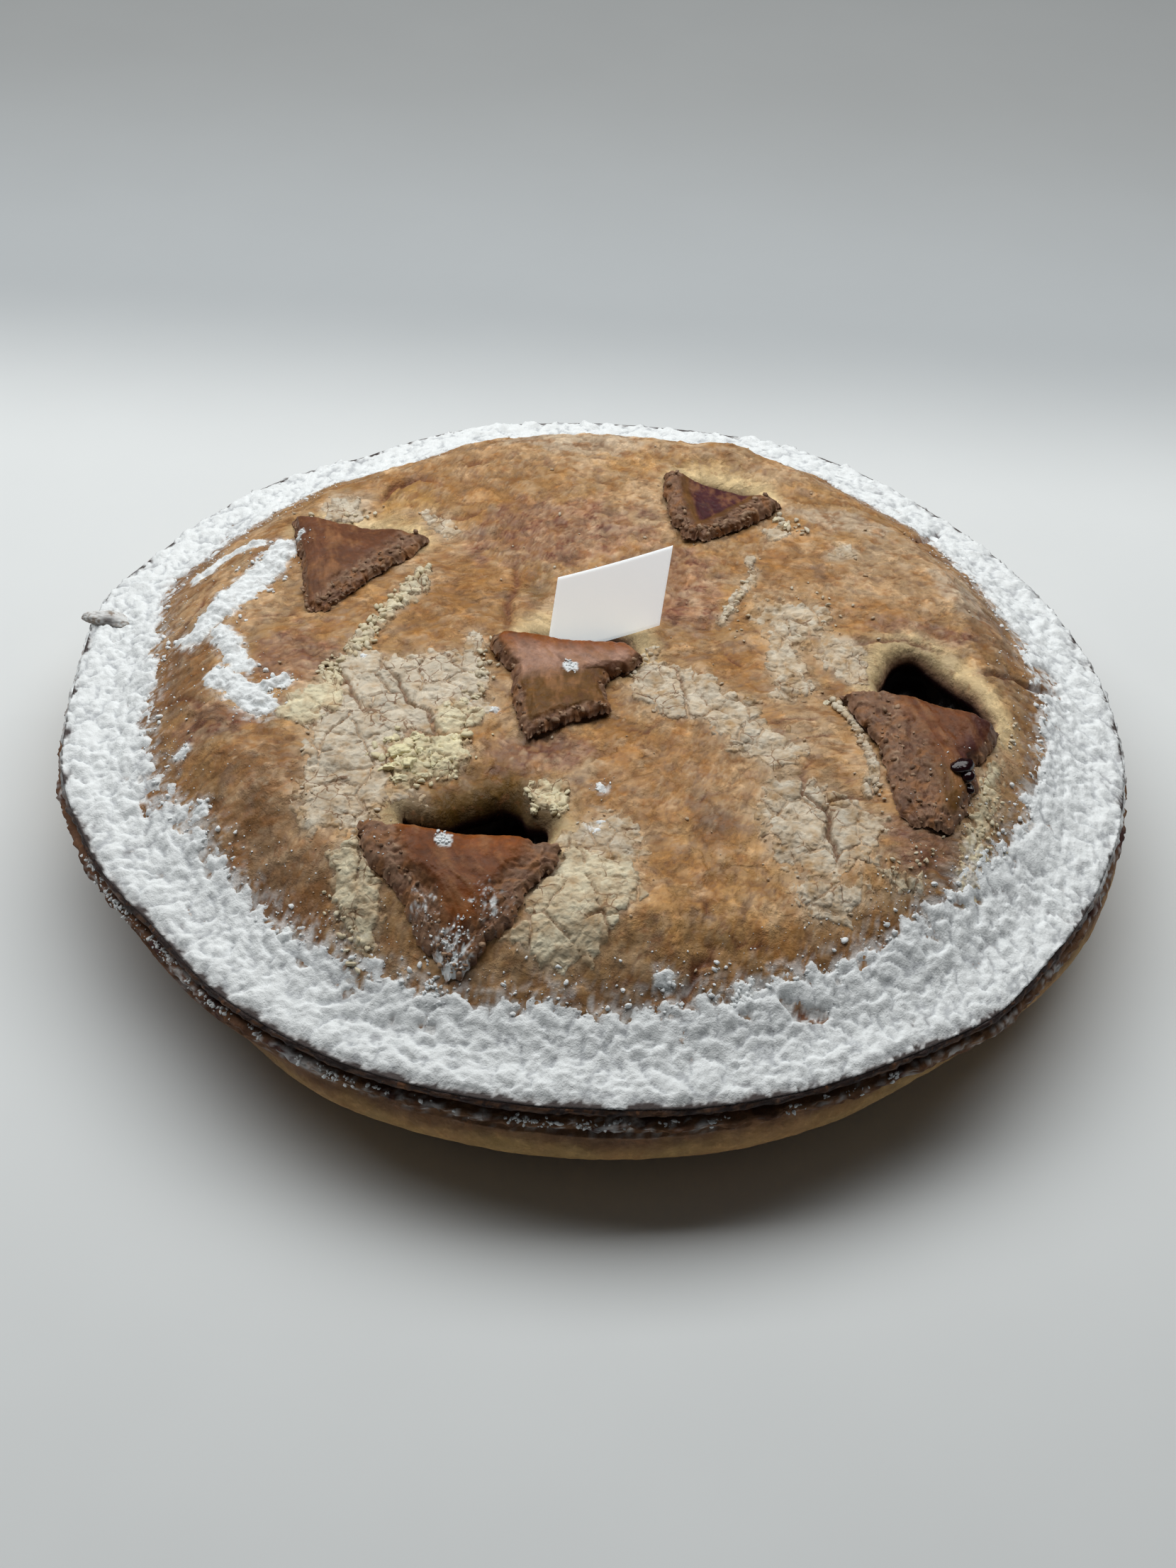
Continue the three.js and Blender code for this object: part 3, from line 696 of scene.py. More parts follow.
# pale crust that dried and cracked: an outline, or a line and half its width; size of its plates, thickness,
# freshness, softness and raggedness of its border, and size of the cells in its plates
PALE_CRUST = [
    dict(area=[(-66, -9), (-56, -12), (-46, -10), (-38, -9), (-31, -12), (-29, -22), (-29, -32), (-37, -31),
               (-41, -36), (-40, -41), (-46, -40), (-50, -47), (-51, -56), (-49, -66), (-52, -74),
               (-60, -77), (-69, -76), (-71, -66), (-70, -54), (-71, -42), (-72, -36), (-66, -31),
               (-64, -24), (-68, -16)], plate=9.0, thick=0.75),
    dict(area=[(-80, -37), (-74, -40), (-66, -34), (-62, -27), (-67, -18), (-73, -24), (-79, -31)],
         plate=16.0, thick=1.2, fresh=0.5, soft=1.2, cell=5.0),
    dict(area=[(-51, 27), (-47.5, 24), (-47, 17), (-51, 11), (-55, 5), (-59, 0), (-60, 3), (-57, 11),
               (-53, 20)], plate=6.0, thick=1.3, fresh=0.35, soft=1.6, cell=1.9),
    dict(area=[(-61, 0), (-59.5, -4), (-62, -9), (-66, -12), (-66, -6), (-63, -1)], plate=6.0, thick=1.1,
         fresh=0.2, soft=1.6, cell=1.9),
    dict(area=[(-40, -30), (-31, -29), (-28, -34), (-32, -40), (-38, -41), (-41, -36)], plate=7.0,
         thick=1.1, fresh=0.5, soft=1.8),
    dict(area=[(-48, -43), (-41, -42), (-34, -42), (-30, -47), (-33, -53), (-40, -56), (-45, -60),
               (-50, -58), (-50, -50)], plate=4.0, thick=1.5, fresh=0.7, soft=1.8, cell=2.2),
    dict(area=[(-48, -60), (-42, -62), (-40, -68), (-46, -69), (-51, -64)], plate=9.0, thick=0.45),
    dict(area=[(-61, -80), (-54, -79), (-50, -88), (-47, -98), (-49, -106), (-56, -101), (-59, -90)],
         plate=9.0, thick=1.2, fresh=0.4, soft=1.8, cell=2.8),
    dict(area=[(-18, -60), (-12, -55), (-7, -57), (-5, -62), (-8, -69), (-13, -71), (-16, -66)],
         plate=4.0, thick=1.5, fresh=0.6, soft=1.6, cell=2.0),
    dict(area=[(-8, -73), (-4, -74), (-3, -80), (-7, -82)], plate=6.0, thick=1.0, fresh=0.2, soft=1.4,
         cell=2.0),
    dict(area=[(-5, -77), (3, -79), (11, -84), (13, -90), (9, -99), (3, -106), (-5, -112), (-13, -110),
               (-17, -105), (-13, -97), (-14, -91), (-9, -86)], plate=11.0, thick=0.8, fresh=0.35, soft=2.6,
         cell=3.2),
    dict(area=[(-2, -66), (6, -66), (11, -72), (12, -80), (5, -82), (-2, -78), (-4, -71)], plate=7.0,
         thick=0.6, ragged=5),
    dict(area=[(9, -10), (17, -9), (25, -12), (32, -18), (40, -24), (42, -31), (34, -33), (24, -31),
               (14, -27), (8, -20)], plate=7.5, thick=0.85, soft=2.4, cell=2.8),
    dict(area=[(30, -31), (44, -32), (52, -36), (52, -44), (44, -46), (34, -40), (28, -35)], plate=8.0,
         thick=0.5, ragged=6),
    dict(area=[(41, 21), (50, 21), (59, 18), (58, 10), (52, 5), (51, -6), (54, -16), (46, -20), (43, -8),
               (45, 4), (41, 12)], plate=7.0, thick=0.7, ragged=5),
    dict(line=[(39, 40), (40, 31), (36, 24), (33, 16), (31, 11)], half=1.0, plate=6.0, thick=1.0, soft=1.0,
         cell=1.7),
    dict(area=[(58, 7), (66, 6), (70, -2), (68, -10), (60, -9), (57, -2)], plate=9.0, thick=0.45),
    dict(line=[(60.5, -18), (63, -21), (65.5, -28), (67.5, -36), (68.5, -44), (67, -52)], half=1.0,
         plate=6.0, thick=1.3, soft=1.0, cell=1.8),
    dict(area=[(44, -52), (52, -50), (62, -54), (69, -57), (70, -66), (66, -74), (58, -80), (48, -76),
               (41, -68), (41, -58)], plate=8.0, thick=0.5, ragged=6),
    dict(area=[(48, -80), (58, -78), (66, -84), (62, -90), (50, -90)], plate=8.0, thick=0.45, ragged=6),
    dict(area=[(71, -77), (76, -76), (81, -73.5), (80, -78), (74, -81)], plate=6.0, thick=1.1, fresh=0.3,
         soft=1.4, cell=2.0),
    dict(area=[(102, -26), (103, -32), (99, -44), (97, -56), (95, -70), (91, -76), (90, -66), (93, -55),
               (95, -44), (98, -34)], plate=8.0, thick=0.8, fresh=0.5, cell=2.0, ragged=4),
    dict(area=[(42, 54), (46, 57), (50, 55), (49, 51), (44, 50)], plate=6.0, thick=1.0, soft=1.4, cell=1.9),
    dict(area=[(61, 49), (66, 50), (67, 44), (62, 43)], plate=4.0, thick=0.5),
    dict(area=[(-80, 50), (-74, 49), (-70, 54), (-70, 63), (-77, 64), (-80, 60)], plate=4.0, thick=0.8),
    dict(area=[(-51, 54), (-47, 52), (-43, 44), (-42, 40), (-46, 42), (-50, 48)], plate=3.0, thick=0.8),
    dict(area=[(-36, 0), (-32, 1), (-31, -6), (-33, -10), (-36, -8)], plate=3.0, thick=0.6),
    dict(line=[(14, -3), (12, -8), (9, -14)], half=0.8, plate=6.0, thick=1.0, soft=1.0, cell=1.7),
]

# paint for the lid: colour, strength, raggedness, ovals of middle, half sizes and turn
RED_SCALES = [(-14, 46, 24, 16, 10), (20, 24, 11, 20, 0), (-78, -13, 13, 13, 0), (-14, -46, 13, 7, 0),
              (-46, -43, 4, 5, 0), (80, -66, 10, 8, 0), (-96, -38, 10, 6, -20), (84, 14, 16, 4, 0)]
PAINT = [
    (PALE_SKIN, 0.7, 1.6, [(-104, 22, 14, 30, 0), (72, 34, 34, 20, 0), (105, 30, 12, 18, 0),
                           (18, 62, 24, 22, 0), (36, -48, 26, 12, 0), (84, 46, 24, 14, -20),
                           (-48, 82, 26, 10, 0), (-52, 40, 14, 18, 0), (52, -30, 12, 14, 0),
                           (-12, -78, 4, 4, 0), (0, 92, 56, 16, 0)]),
    (HONEY, 0.8, 1.6, [(34, -90, 34, 16, 0), (-20, -52, 14, 5, 0), (4, 88, 12, 8, 0)]),
    (AMBER, 0.85, 1.5, [(20, -84, 12, 8, 0), (54, -92, 14, 7, 20), (-42, 14, 14, 22, 0),
                        (14, -46, 18, 10, 0), (60, -96, 20, 8, 30), (-44, 70, 22, 12, 0),
                        (34, -8, 12, 12, 0), (70, 18, 20, 8, 0), (10, -62, 12, 10, 0), (46, 36, 18, 8, 0),
                        (-70, 34, 14, 24, 0), (24, -34, 12, 8, 0)]),
    (BROWN, 0.85, 1.2, [(-80, -62, 12, 24, 10), (-66, -88, 16, 9, -40), (-108, -16, 8, 24, 0),
                        (30, -112, 26, 4, 8), (82, -66, 12, 10, 0), (104, 24, 8, 20, 0),
                        (-94, 30, 4, 16, 0), (29, -66, 6, 8, 0)]),
    (REDDISH, 0.8, 1.0, RED_SCALES),
    (CREAM, 0.65, 0.9, [(65, 63, 17, 5, -14), (-75, 57, 7, 9, 0), (-12, 98, 22, 9, 0), (64, 46, 5, 5, 0),
                        (64, -2, 8, 9, 0), (-45, -64, 6, 5, 0), (96, 36, 8, 10, 0)]),
    # dark yellow with painted shade in the arch behind the front flap and in a hollow behind the card
    (SHADED_YELLOW, 0.85, 0.5, [(-28, -58, 12, 10, 0), (-18, 22, 4, 8, 0)]),
    (STRAW, 0.85, 0.5, [(-57, 54, 9, 15, 10), (28, 84, 12, 9, 0)]),
    (DARK_BROWN, 0.65, 0.9, [(-96, -40, 10, 6, 30), (-110, -6, 4, 10, 0), (-103, 3, 4, 3, 0),
                             (88, -80, 12, 5, 30), (-72, -92, 8, 4, -30), (44, -112, 10, 3, 0),
                             (-113, 52, 6, 5, 0), (30, -66, 4, 5, 0)]),
]
# sugar that fell on the lid: points of a line and half its width
SUGAR_TRAILS = [
    ([(-88, 34), (-91, 27), (-95, 20)], 4.6),
    ([(-95, 20), (-102, 8), (-107, 0)], 5.0),
    ([(-100, -2), (-95, -12), (-92, -18)], 3.4),
    ([(-97, -22), (-91, -27), (-85, -33)], 4.6),
    ([(-112, 33), (-106, 38), (-96, 38)], 2.6),
    ([(-86, -27), (-80, -24)], 2.4),
]
SUGAR_SPOTS = [(2, -57, 1.9), (1, -71, 2.2), (-26, -31, 1.1), (-61, -12, 1.2), (-80, -26, 1.4),
               (-103, -44, 2.2), (60, -106, 2.6), (70, -98, 2.2), (19, -111, 2.8), (38, -110, 3.2),
               (-95, -62, 2.4), (-70, -98, 2.6)]
# open tears of the lid: points of a line, half its width, depth
TEARS = [
    ([(101, 1), (107, 5), (113, 7), (124, 14)], 1.0, 2.4),
    ([(86, 66), (92, 78), (97, 91)], 1.1, 2.2),
    ([(24, -114), (26, -107), (30, -105), (29, -102)], 1.0, 1.4),
    ([(27, -92), (29, -96)], 0.9, 0.8),
    ([(31, -96), (36, -101), (44, -100)], 0.4, 0.6),
    ([(47, -109), (50, -111), (57, -110)], 1.3, 1.8),
    ([(-65, 61), (-62, 68), (-55, 72), (-49, 69)], 1.2, 1.8),
    ([(-52, 55), (-45, 51), (-40, 51), (-36, 55)], 0.5, 0.9),
    ([(-43, 80), (-36, 82)], 0.7, 1.0),
    ([(-68, -16), (-64, -22), (-62, -28), (-58, -36)], 0.6, 1.3),
    ([(-57, -15), (-53, -19), (-50, -25), (-48, -30), (-42, -34), (-40, -42)], 0.6, 1.3),
    ([(-68, -50), (-66, -42), (-62, -37), (-60, -33)], 0.32, 0.7),
    ([(-52, -46), (-51, -52), (-48, -60)], 0.4, 0.8),
    ([(-70, -64), (-62, -60), (-55, -62)], 0.3, 0.6),
    ([(53, -42), (51, -48), (51, -54), (55, -57), (57, -60), (57, -66), (59, -72), (60, -78)], 0.65, 1.4),
    ([(56, -57), (60, -54), (64, -53.5), (69, -55)], 0.4, 0.8),
    ([(19, -10), (21, -18), (23, -25)], 0.35, 0.8),
    ([(42, -30), (50, -28), (57, -26)], 0.32, 0.5),
    ([(50, -36), (56, -33), (60, -33)], 0.32, 0.5),
    ([(8, -36), (12, -37), (14, -33)], 0.4, 0.5),
    ([(25, -60), (29, -57.5)], 0.4, 0.5),
    ([(-25, 30), (-24, 22), (-26, 12), (-25, 2)], 1.1, 1.2),
    ([(-106, 26), (-108, 14), (-112, 6)], 0.5, 0.8),
    ([(-90, 5), (-84, 6), (-80, 4)], 0.4, 0.6),
    ([(-111, -24), (-104, -27), (-100, -31)], 0.6, 0.8),
    ([(31.5, 0), (33, -5), (37, -9)], 0.4, 0.7),
    ([(66, 4), (72, 8), (80, 11), (90, 8)], 0.6, 0.8),
    ([(0, -101), (4, -99), (6, -104)], 0.4, 0.6),
]
# radius of the inner edge of the rim's ring, and its swells: bearing, width, change of radius
SUGAR_EDGE = 117.5
# thickness in the middle of the trails and of the spots
TRAIL_THICKNESS = 1.7
SPOT_THICKNESS = 1.1
SUGAR_SWELLS = [(160, 13, 6.5), (50, 24, 4.0), (105, 28, 4.5), (-44, 12, -4.5), (-104, 9, 1.5),
                (-150, 12, 1.0), (-65, 12, -2.0), (-18, 12, -1.0), (-128, 8, 1.5)]


def oval_distance(x, y, cx, cy, rx, ry, turn):
    c, s = math.cos(math.radians(turn)), math.sin(math.radians(turn))
    u, v = (x - cx) * c + (y - cy) * s, (y - cy) * c - (x - cx) * s
    return np.hypot(u / rx, v / ry)


def crust_share(x, y, spot, wander, spread=1.0):
    """1 in a patch of pale crust, falling to 0 past its ragged edge."""
    path = np.array(spot.get("line", spot.get("area")), float)
    near = near_box(x, y, path, 9 * spread)
    if "line" in spot:
        d = path_distance(x[near], y[near], path)[0] - spot["half"]
    else:
        d = loop_distance(x[near], y[near], path)
    soft = spot.get("soft", 3.2) * spread
    share = np.zeros(np.shape(x))
    share[near] = smooth(soft, -soft, d + spot.get("ragged", 1.1 * soft) * wander[near])
    return share


def pale_share(x, y, wander, spread=1.0):
    return np.max([crust_share(x, y, spot, wander, spread) for spot in PALE_CRUST], axis=0)


def ragged_wander(x, y):
    return MIDDLE.fractal(x, y, size=8.0, octaves=4, gain=0.6)


def tears(x, y):
    """Depth of the tears and how dark they are."""
    wx = x + 1.1 * FINE.fractal(x, y, size=4.0, octaves=2)
    wy = y + 1.1 * FINE.fractal(x + 40, y, size=4.0, octaves=2)
    depth, dark = np.zeros(np.shape(x)), np.zeros(np.shape(x))
    for path, half, deep in TEARS:
        near = near_box(x, y, path, 6)
        d, along = path_distance(wx[near], wy[near], path)
        taper = np.sqrt(clamp01(4 * (along + 0.04) * (1.04 - along)))
        cut = bell(d / half) * taper
        lip = 0.3 * bell((d - 2.4 * half) / (1.2 * half)) * taper
        depth[near] = np.maximum(depth[near], deep * (cut - lip))
        dark[near] = np.maximum(dark[near], cut)
    return depth, dark


def fallen_sugar(x, y):
    """Thickness in mm of the sugar on the lid inside the rim's ring; below zero where there is none."""
    thick = np.full(np.shape(x), -2.0)
    for path, half in SUGAR_TRAILS:
        d, _ = path_distance(x, y, path)
        thick = np.maximum(thick, TRAIL_THICKNESS - TRAIL_THICKNESS * (d / half) ** 1.5)
    for px, py, half in SUGAR_SPOTS:
        d = np.hypot(x - px, y - py)
        thick = np.maximum(thick, SPOT_THICKNESS - SPOT_THICKNESS * (d / half) ** 1.5)
    heaps = MIDDLE.billow(x, y, size=4.6, octaves=3, gain=0.55)
    return thick + 1.6 * (heaps - 0.55) + 0.5 * FINE.fractal(x, y, size=2.2, octaves=2)


def sugar_margin(x, y):
    """Distance in mm outwards from the inner edge of the rim's ring."""
    edge = SUGAR_EDGE + swell(np.arctan2(y, x), SUGAR_SWELLS)
    return rim_share(x, y) * RIM_RADIUS - edge + 3.5 * MIDDLE.fractal(x, y, size=17.0, octaves=2)


def dusting(x, y):
    """How much loose sugar whitens the lid, 0 to 1."""
    grains = FINE.fractal(x, y, lid_height(x, y), size=2.4, octaves=3, gain=0.7)
    margin = sugar_margin(x, y)
    ring = smooth(-9, 4, margin) * smooth(0.1, 0.4, grains + 0.3 * smooth(-8, 2, margin))
    trail = smooth(-1.2, 0.2, fallen_sugar(x, y)) * smooth(-0.2, 0.4, grains)
    return np.maximum(0.8 * ring, trail)


def peel(x, y):
    """Blisters and thin scales of the skin: clouded areas with sharp edges, from 0 to 1."""
    bend = 4.0 * BROAD.fractal(x, y, size=14.0, octaves=2)
    cloud = MIDDLE.fractal(x + bend, y * 1.25 - bend, size=10.0, octaves=5, gain=0.62)
    return smooth(-0.02, 0.16, cloud)


def red_share(x, y, wander):
    near = [smooth(1.2, 0.7, oval_distance(x, y, *spot) + 0.9 * wander) for spot in RED_SCALES]
    return np.max(near, axis=0)


def scale_cells(x, y):
    """The reddish scales: distance to their border and a random number for each."""
    bent = 1.2 * FINE.fractal(x, y, size=4.0, octaves=2)
    border, _, chance = crackle(x + bent, y - bent, 2.4, 4)
    return border, chance


def wrinkles(x, y, width):
    return bell(FINE.fractal(x * 0.7, y * 1.2 + 15, size=6.0, octaves=3) / width)


def lid_relief(x, y, vent):
    """Fine relief on the lid, in mm, at a distance from the nearest cut."""
    wander = ragged_wander(x, y)
    broad = 1.2 * BROAD.fractal(x, y, size=16.0, octaves=3)
    broad = broad + 0.6 * MIDDLE.fractal(x - 30, y, size=9.0, octaves=2)
    skin = 0.6 * MIDDLE.fractal(x, y, size=5.2, octaves=4, gain=0.6) + 0.3 * peel(x, y)
    skin = skin - 0.35 * wrinkles(x, y, 0.06)
    fine = 0.2 * FINE.fractal(x, y, size=2.0, octaves=2)
    pits = -0.4 * smooth(0.2, 0.55, FINE.fractal(x + 60, y, size=3.2, octaves=2))
    border, chance = scale_cells(x, y)
    scales = red_share(x, y, wander) * (0.5 * (chance - 0.5) - 0.3 * bell(border / 0.35) * (chance > 0.3))
    height = broad + skin + fine + pits + scales - 0.25 * pale_share(x, y, wander)
    calm = mix(0.3, 1.0, smooth(0.0, 10.0, vent)) * (1 - 0.75 * smooth(0.93, 0.99, rim_share(x, y)))
    return height * calm - tears(x, y)[0] - LIP_DROP * (1 - round_off(vent, LIP_WIDTH))


def crust_height(x, y):
    """The lid's surface with its fine relief."""
    return lid_height(x, y) + lid_relief(x, y, np.maximum(VENT_FIELD.at(x, y), 0))


def baked_skin(x, y, wander, speckle):
    """Colour of the skin: golden with paler, amber and painted areas, blisters and blotches."""
    tone = BROAD.fractal(x, y, size=20.0, octaves=5, gain=0.6)
    grain = FINE.fractal(x - 25, y, size=1.6, octaves=3, gain=0.7)
    base = tinted(plain(GOLDEN, x), PALE_SKIN, 0.65 * smooth(0.0, 0.3, tone))
    base = tinted(base, AMBER, 0.6 * smooth(0.0, -0.3, tone))
    for colour, strength, ragged, ovals in PAINT:
        near = [smooth(1.2, 0.75, oval_distance(x, y, *oval) + ragged * wander) for oval in ovals]
        base = tinted(base, colour, clamp01(strength * np.max(near, axis=0) * (0.75 + 0.8 * speckle)))
    scaled = peel(x, y)
    amber = smooth(0.08, 0.26, MIDDLE.fractal(x * 0.8 + 9, y * 1.3, size=5.5, octaves=5, gain=0.65))
    blotch = smooth(0.14, 0.34, MIDDLE.fractal(x - 40, y + 9, size=7.0, octaves=5, gain=0.65))
    for colour, share in ((PALE_SKIN, 0.6 * scaled * smooth(-0.3, 0.25, speckle)),
                          (AMBER, 0.5 * (1 - scaled) * smooth(-0.1, 0.3, speckle)),
                          (CARAMEL, 0.65 * amber),
                          (GREY_BROWN, 0.6 * blotch),
                          (DARK_BROWN, 0.5 * smooth(0.22, 0.5, grain) * smooth(0.0, 0.3, wander)),
                          (PALE_GRAIN, 0.5 * smooth(0.25, 0.5, grain) * smooth(0.1, -0.3, wander))):
        base = tinted(base, colour, share)
    return base


def vent_colour(x, y, vent, wander, base):
    """The bare, paler bend of the lid into its cuts; in the arch behind the front flap a dark yellow, the
    dough's own yellow darkened with painted shade.
    """
    bare = 1 - smooth(3.0, 10.0, vent + 2.5 * wander)
    arch = smooth(30, 15, np.hypot(x + 27, y + 58))
    base = tinted(base, tinted(plain(LIP, x), SHADED_YELLOW, arch), 0.8 * bare)
    return tinted(base, PINK, 0.8 * (1 - smooth(-0.5, 1.4, vent)) * (1 - arch))


def lid_colour(x, y, vent):
    wander = ragged_wander(x, y)
    speckle = FINE.fractal(x, y, size=3.6, octaves=4, gain=0.65)
    border, chance = scale_cells(x, y)
    scale_dark = 0.55 * bell(border / 0.4) * (chance > 0.3) + 0.5 * (chance > 0.82)
    r = rim_share(x, y) * RIM_RADIUS
    base = baked_skin(x, y, wander, speckle)
    # reddish scales, pale crust with a paler skin round it, and the darker way out to the rim
    for colour, share in ((RED_DARK, red_share(x, y, wander) * clamp01(scale_dark)),
                          (PALE_HALO, clamp01(0.6 * pale_share(x, y, wander, 2.2) * (0.7 + 1.2 * speckle))),
                          (CREAM, clamp01(0.5 * pale_share(x, y, wander) * (0.8 + 1.4 * speckle))),
                          (BROWN, 0.35 * smooth(105, 119, r + 3 * wander)),
                          (DARK_BROWN, 0.5 * smooth(114, 128, r + 3 * wander)),
                          (BURNT, 0.9 * smooth(128, 136, r + 2 * wander))):
        base = tinted(base, colour, share)
    base = vent_colour(x, y, vent, wander, base)
    # painted shade: the wrinkle grooves are painted browner
    base = tinted(base, BROWN, 0.5 * wrinkles(x, y, 0.045) * smooth(3.0, 8.0, vent))
    # painted light and shade: crests painted lighter, hollows painted darker
    base = base * (1 + 0.22 * np.clip(lid_relief(x, y, vent), -1.2, 1.2) / 1.2)[:, None]
    base = tinted(base, TEAR, 0.85 * tears(x, y)[1])
    return tinted(base, SUGAR, dusting(x, y))


# ---------------------------------------------------------------- lid
LID_STEPS = 288
# the inner 95% of the grid's steps cover the inner 90.5% of the lid
DENSE_SHARE = 0.905
DENSE_STEPS = 0.95
VENT_WALL = 3.5
# spacing of the points of the hidden underside, and how far they stay from its border and from the cuts
UNDERSIDE_STEP = 14.0
UNDERSIDE_BORDER = 6
UNDERSIDE_CLEAR = 4
# down the rim's side: way out, height against the rim's top, share of the raggedness
RIM_SIDE = ((0.35, -0.5, 1), (0.45, -1.1, 1), (0.2, -1.7, 1), (-1.2, RIM_UNDERSIDE - RIM_HEIGHT, 0),
            (CAVITY_RADIUS - RIM_RADIUS, RIM_UNDERSIDE - RIM_HEIGHT, 0))


def disc_grid(steps):
    """A square grid bent onto the unit disc, its quads, and the vertex numbers round its edge."""
    s = np.linspace(-1, 1, steps + 1)
    b, a = np.meshgrid(s, s, indexing="ij")
    wide = np.abs(a) > np.abs(b)
    radius = np.where(wide, a, b)
    safe = np.where(radius == 0, 1, radius)
    phi = np.where(wide, math.pi / 4 * b / safe, math.pi / 2 - math.pi / 4 * a / safe)
    x, y = polar(radius, phi)
    return x.ravel(), y.ravel(), grid_quads(steps + 1, steps + 1), border_ring(steps + 1, steps + 1)


def spread_to_rim(x, y):
    """Moves unit disc points out to the rim, packed closer over the dome than on the rim."""
    r, phi = np.hypot(x, y), np.arctan2(y, x)
    inner = r / DENSE_STEPS * DENSE_SHARE
    outer = DENSE_SHARE + (r - DENSE_STEPS) / (1 - DENSE_STEPS) * (1 - DENSE_SHARE)
    return polar(np.where(r < DENSE_STEPS, inner, outer) * rim_radius(phi), phi)


def under_height(x, y):
    """Height of the lid's underside."""
    return np.minimum(dome_height(x, y) - LID_THICKNESS, lid_height(x, y) - 3.0)


def open_rings(quads, outer):
    """Closed rings of vertex numbers round the holes of a sheet, apart from its outer edge."""
    directed = np.stack([quads, np.roll(quads, -1, axis=1)], axis=-1).reshape(-1, 2)
    big = int(directed.max()) + 1
    forward_keys = directed[:, 0] * big + directed[:, 1]
    backward_keys = directed[:, 1] * big + directed[:, 0]
    lonely = directed[~np.isin(forward_keys, backward_keys)]
    forward = dict(map(tuple, lonely.tolist()))
    outer = set(outer.tolist())
    left = {a for a in forward if a not in outer}
    rings = []
    while left:
        ring = [min(left)]
        left.discard(ring[0])
        while forward[ring[-1]] != ring[0]:
            ring.append(forward[ring[-1]])
            left.discard(ring[-1])
        rings.append(np.array(ring))
    return rings


def snap_to_vents(x, y, quads, edge):
    """Moves the points round each hole onto the cut's outline."""
    for ring in open_rings(quads, edge):
        middle = np.array([x[ring].mean(), y[ring].mean()])
        loop = min(VENTS.values(), key=lambda v: np.hypot(*(v.mean(0) - middle)))
        _, x[ring], y[ring] = nearest_on_loop(x[ring], y[ring], loop)


def close_underside(points, rings):
    """Triangles between the first ring and the holes inside it, with a few points of their own."""
    flat, edges, numbers = [], [], []
    for ring in rings:
        base = len(flat)
        flat += [Vector(points[k, :2]) for k in ring]
        numbers += list(ring)
        edges += [(base + i, base + (i + 1) % len(ring)) for i in range(len(ring))]
    s = UNDERSIDE_STEP * np.arange(-8, 9)
    gx, gy = [g.ravel() for g in np.meshgrid(s, s)]
    free = (np.hypot(gx, gy) < CAVITY_RADIUS - UNDERSIDE_BORDER) & (VENT_FIELD.at(gx, gy) > UNDERSIDE_CLEAR)
    fixed = len(flat)
    flat += [Vector((a, b)) for a, b in zip(gx[free], gy[free])]
    verts, _, faces, origins, _, _ = delaunay_2d_cdt(flat, edges, [], 1, 1e-5)
    xy = np.array([[v.x, v.y] for v in verts])
    table = np.zeros(len(verts), int)
    extra = []
    for k, origin in enumerate(origins):
        known = [o for o in origin if o < fixed]
        if known:
            table[k] = numbers[known[0]]
        else:
            table[k] = len(points) + len(extra)
            extra.append([*xy[k], float(under_height(xy[k, 0], xy[k, 1]))])
    triangles = np.array([f for f in faces if len(f) == 3])
    centres = xy[triangles].mean(axis=1)
    keep = np.ones(len(triangles), bool)
    for ring in rings[1:]:
        keep &= ~inside_loop(centres[:, 0], centres[:, 1], points[ring, :2])
    return np.array(extra), table[triangles[keep]][:, ::-1]


def lid_edge(shell, phi, ragged):
    """Ragged edge and flat underside of the rim."""
    for out, down, share in RIM_SIDE:
        chips = FINE.fractal(*polar(RIM_RADIUS, phi), 3.0 * down, size=2.8, octaves=3)
        reach = rim_radius(phi) + out + share * (ragged + chips)
        shell.grow(ring_points(reach, phi, RIM_HEIGHT + down + 0.45 * share * chips))


def lid_walls(shell, rings):
    """Walls of the cuts, down to the hollow underside; gives their lower rings."""
    lower_rings = []
    for ring in rings:
        top = shell.points[0][ring]
        lower = top - [0, 0, VENT_WALL]
        lower[:, 2] = np.minimum(lower[:, 2], under_height(lower[:, 0], lower[:, 1]))
        shell.ring = ring
        shell.grow(mix(top, lower, 0.5))
        shell.grow(lower)
        lower_rings.append(shell.ring)
    return lower_rings


def lid_tint(x, y, z):
    """The lid's colours with its jam-stained underside, darkened as painted shade where it lines the cuts,
    and its burnt, layered, partly sugared edge.
    """
    share = rim_share(x, y)
    side = smooth(0.97, 0.99, share)
    layered = smooth(-0.1, 0.3, FINE.fractal(x, y, 3.0 * z, size=3.2, octaves=3))
    front = sector(x, y, -178, -155, -35, -10)
    colour = lid_colour(x, y, VENT_FIELD.at(x, y))
    # jam stain on the underside and the cuts' walls, darkened to near black: partly the stain, partly painted
    # shade in the holes
    colour = tinted(colour, JAM_STAIN * 0.4, smooth(3.9, 5.2, lid_height(x, y) - z) * (share < 0.95))
    colour = tinted(colour, BURNT, smooth(0.955, 0.98, share))
    colour = tinted(colour, RIM_LAYER, 0.8 * layered * side * (z < 33.7))
    return tinted(colour, SUGAR, (1 - front) * side * smooth(31.9, 32.6, z) * (1 - 0.7 * layered))


